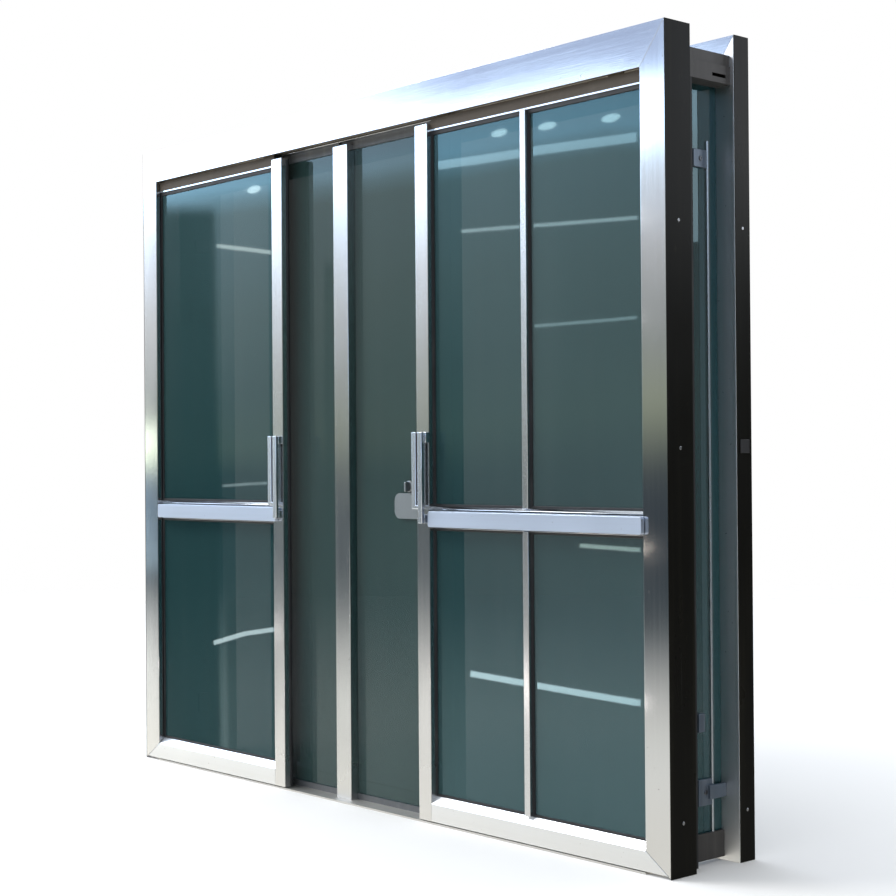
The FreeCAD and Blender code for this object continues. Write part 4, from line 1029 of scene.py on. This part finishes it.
TUFT, UNEVEN, ROOT = 0.004, 0.03, 0.0055        # the tufts start inside the carrier
CARRIER_HIGH, CARRIER_WALL = 0.006, 0.0006
for side in ("left", "right"):
    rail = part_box(f"{side}_top_rail")
    foot, top = rail[1].z - 0.004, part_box("front_header")[0].z - 0.002
    front, back = rail[0].y - 0.0030, rail[0].y - 0.0003
    mesh = bmesh.new()
    slab(mesh, (rail[0].x, front, foot), (rail[1].x, back, foot + CARRIER_HIGH))
    settle(f"{side}_brush_carrier", mesh, brush_painted_shade, f"{side}_leaf")
    count = int((rail[1].x - rail[0].x) / TUFT)
    start = bpy.data.meshes.new(f"{side}_tuft_places")
    start.from_pydata([(rail[0].x + (number + 0.5) * TUFT,
                        (front + CARRIER_WALL + back) / 2, foot + ROOT)
                       for number in range(count)], [], [])
    grown(f"{side}_top_brush", brush_tree, start,
          {"Width": TUFT * 0.97, "Depth": back - front - CARRIER_WALL,
           "Height": top - foot - ROOT, "Uneven": UNEVEN, "Seed": 7,
           "Finish": brush_painted_shade}, f"{side}_leaf")
print("brush strips made")

# %% [markdown]
# The thumb turn is a turned rose with a paddle to grip. The rose is a lathe shape: a
# profile of radius against depth, carried round in steps. The paddle is a box whose
# edges are rounded far enough to feel soft in the hand.

# %% thumb turn
def turned(mesh, centre, profile, steps=48):
    """A closed lathe shape about the y direction, from (radius, y) pairs."""
    angles = [2 * math.pi * step / steps for step in range(steps)]
    rings = [[mesh.verts.new((centre.x + radius * math.cos(angle), y,
                              centre.z + radius * math.sin(angle))) for angle in angles]
             for radius, y in profile]
    for near, far in zip(rings, rings[1:]):
        for s in range(steps):
            after = (s + 1) % steps
            mesh.faces.new((near[s], near[after], far[after], far[s]))
    mesh.faces.new(rings[0])
    mesh.faces.new(rings[-1])


low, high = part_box("thumb_turn")
pane_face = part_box("light_panes")[0].y
centre = (low + high) / 2
mesh = bmesh.new()
turned(mesh, centre, [(0.0150, pane_face - 0.0080), (0.0180, pane_face - 0.0074),
                      (0.0195, pane_face - 0.0058), (0.0200, pane_face - 0.0036),
                      (0.0200, pane_face - 0.0004), (0.0070, pane_face - 0.0004),
                      (0.0070, high.y)])
PADDLE_TALL, PADDLE_THICK, PADDLE_DEEP = 0.033, 0.0085, 0.0165
paddle = bmesh.ops.create_cube(mesh, size=1.0)["verts"]
for vert in paddle:
    vert.co = Vector((centre.x + vert.co.x * PADDLE_THICK,
                      low.y + PADDLE_DEEP / 2 + vert.co.y * PADDLE_DEEP,
                      centre.z + vert.co.z * PADDLE_TALL))
paddle_edges = list({edge for vert in paddle for edge in vert.link_edges})
bmesh.ops.bevel(mesh, geom=paddle_edges, offset=0.003, segments=4, profile=0.5,
                affect="EDGES", clamp_overlap=True)
settle("thumb_turn_knob", mesh, lock_steel, "thumb_turn",
       ["thumb_turn"])
print("thumb turn made")

# %% count of parts
print("pieces dressed:", len(nodes))
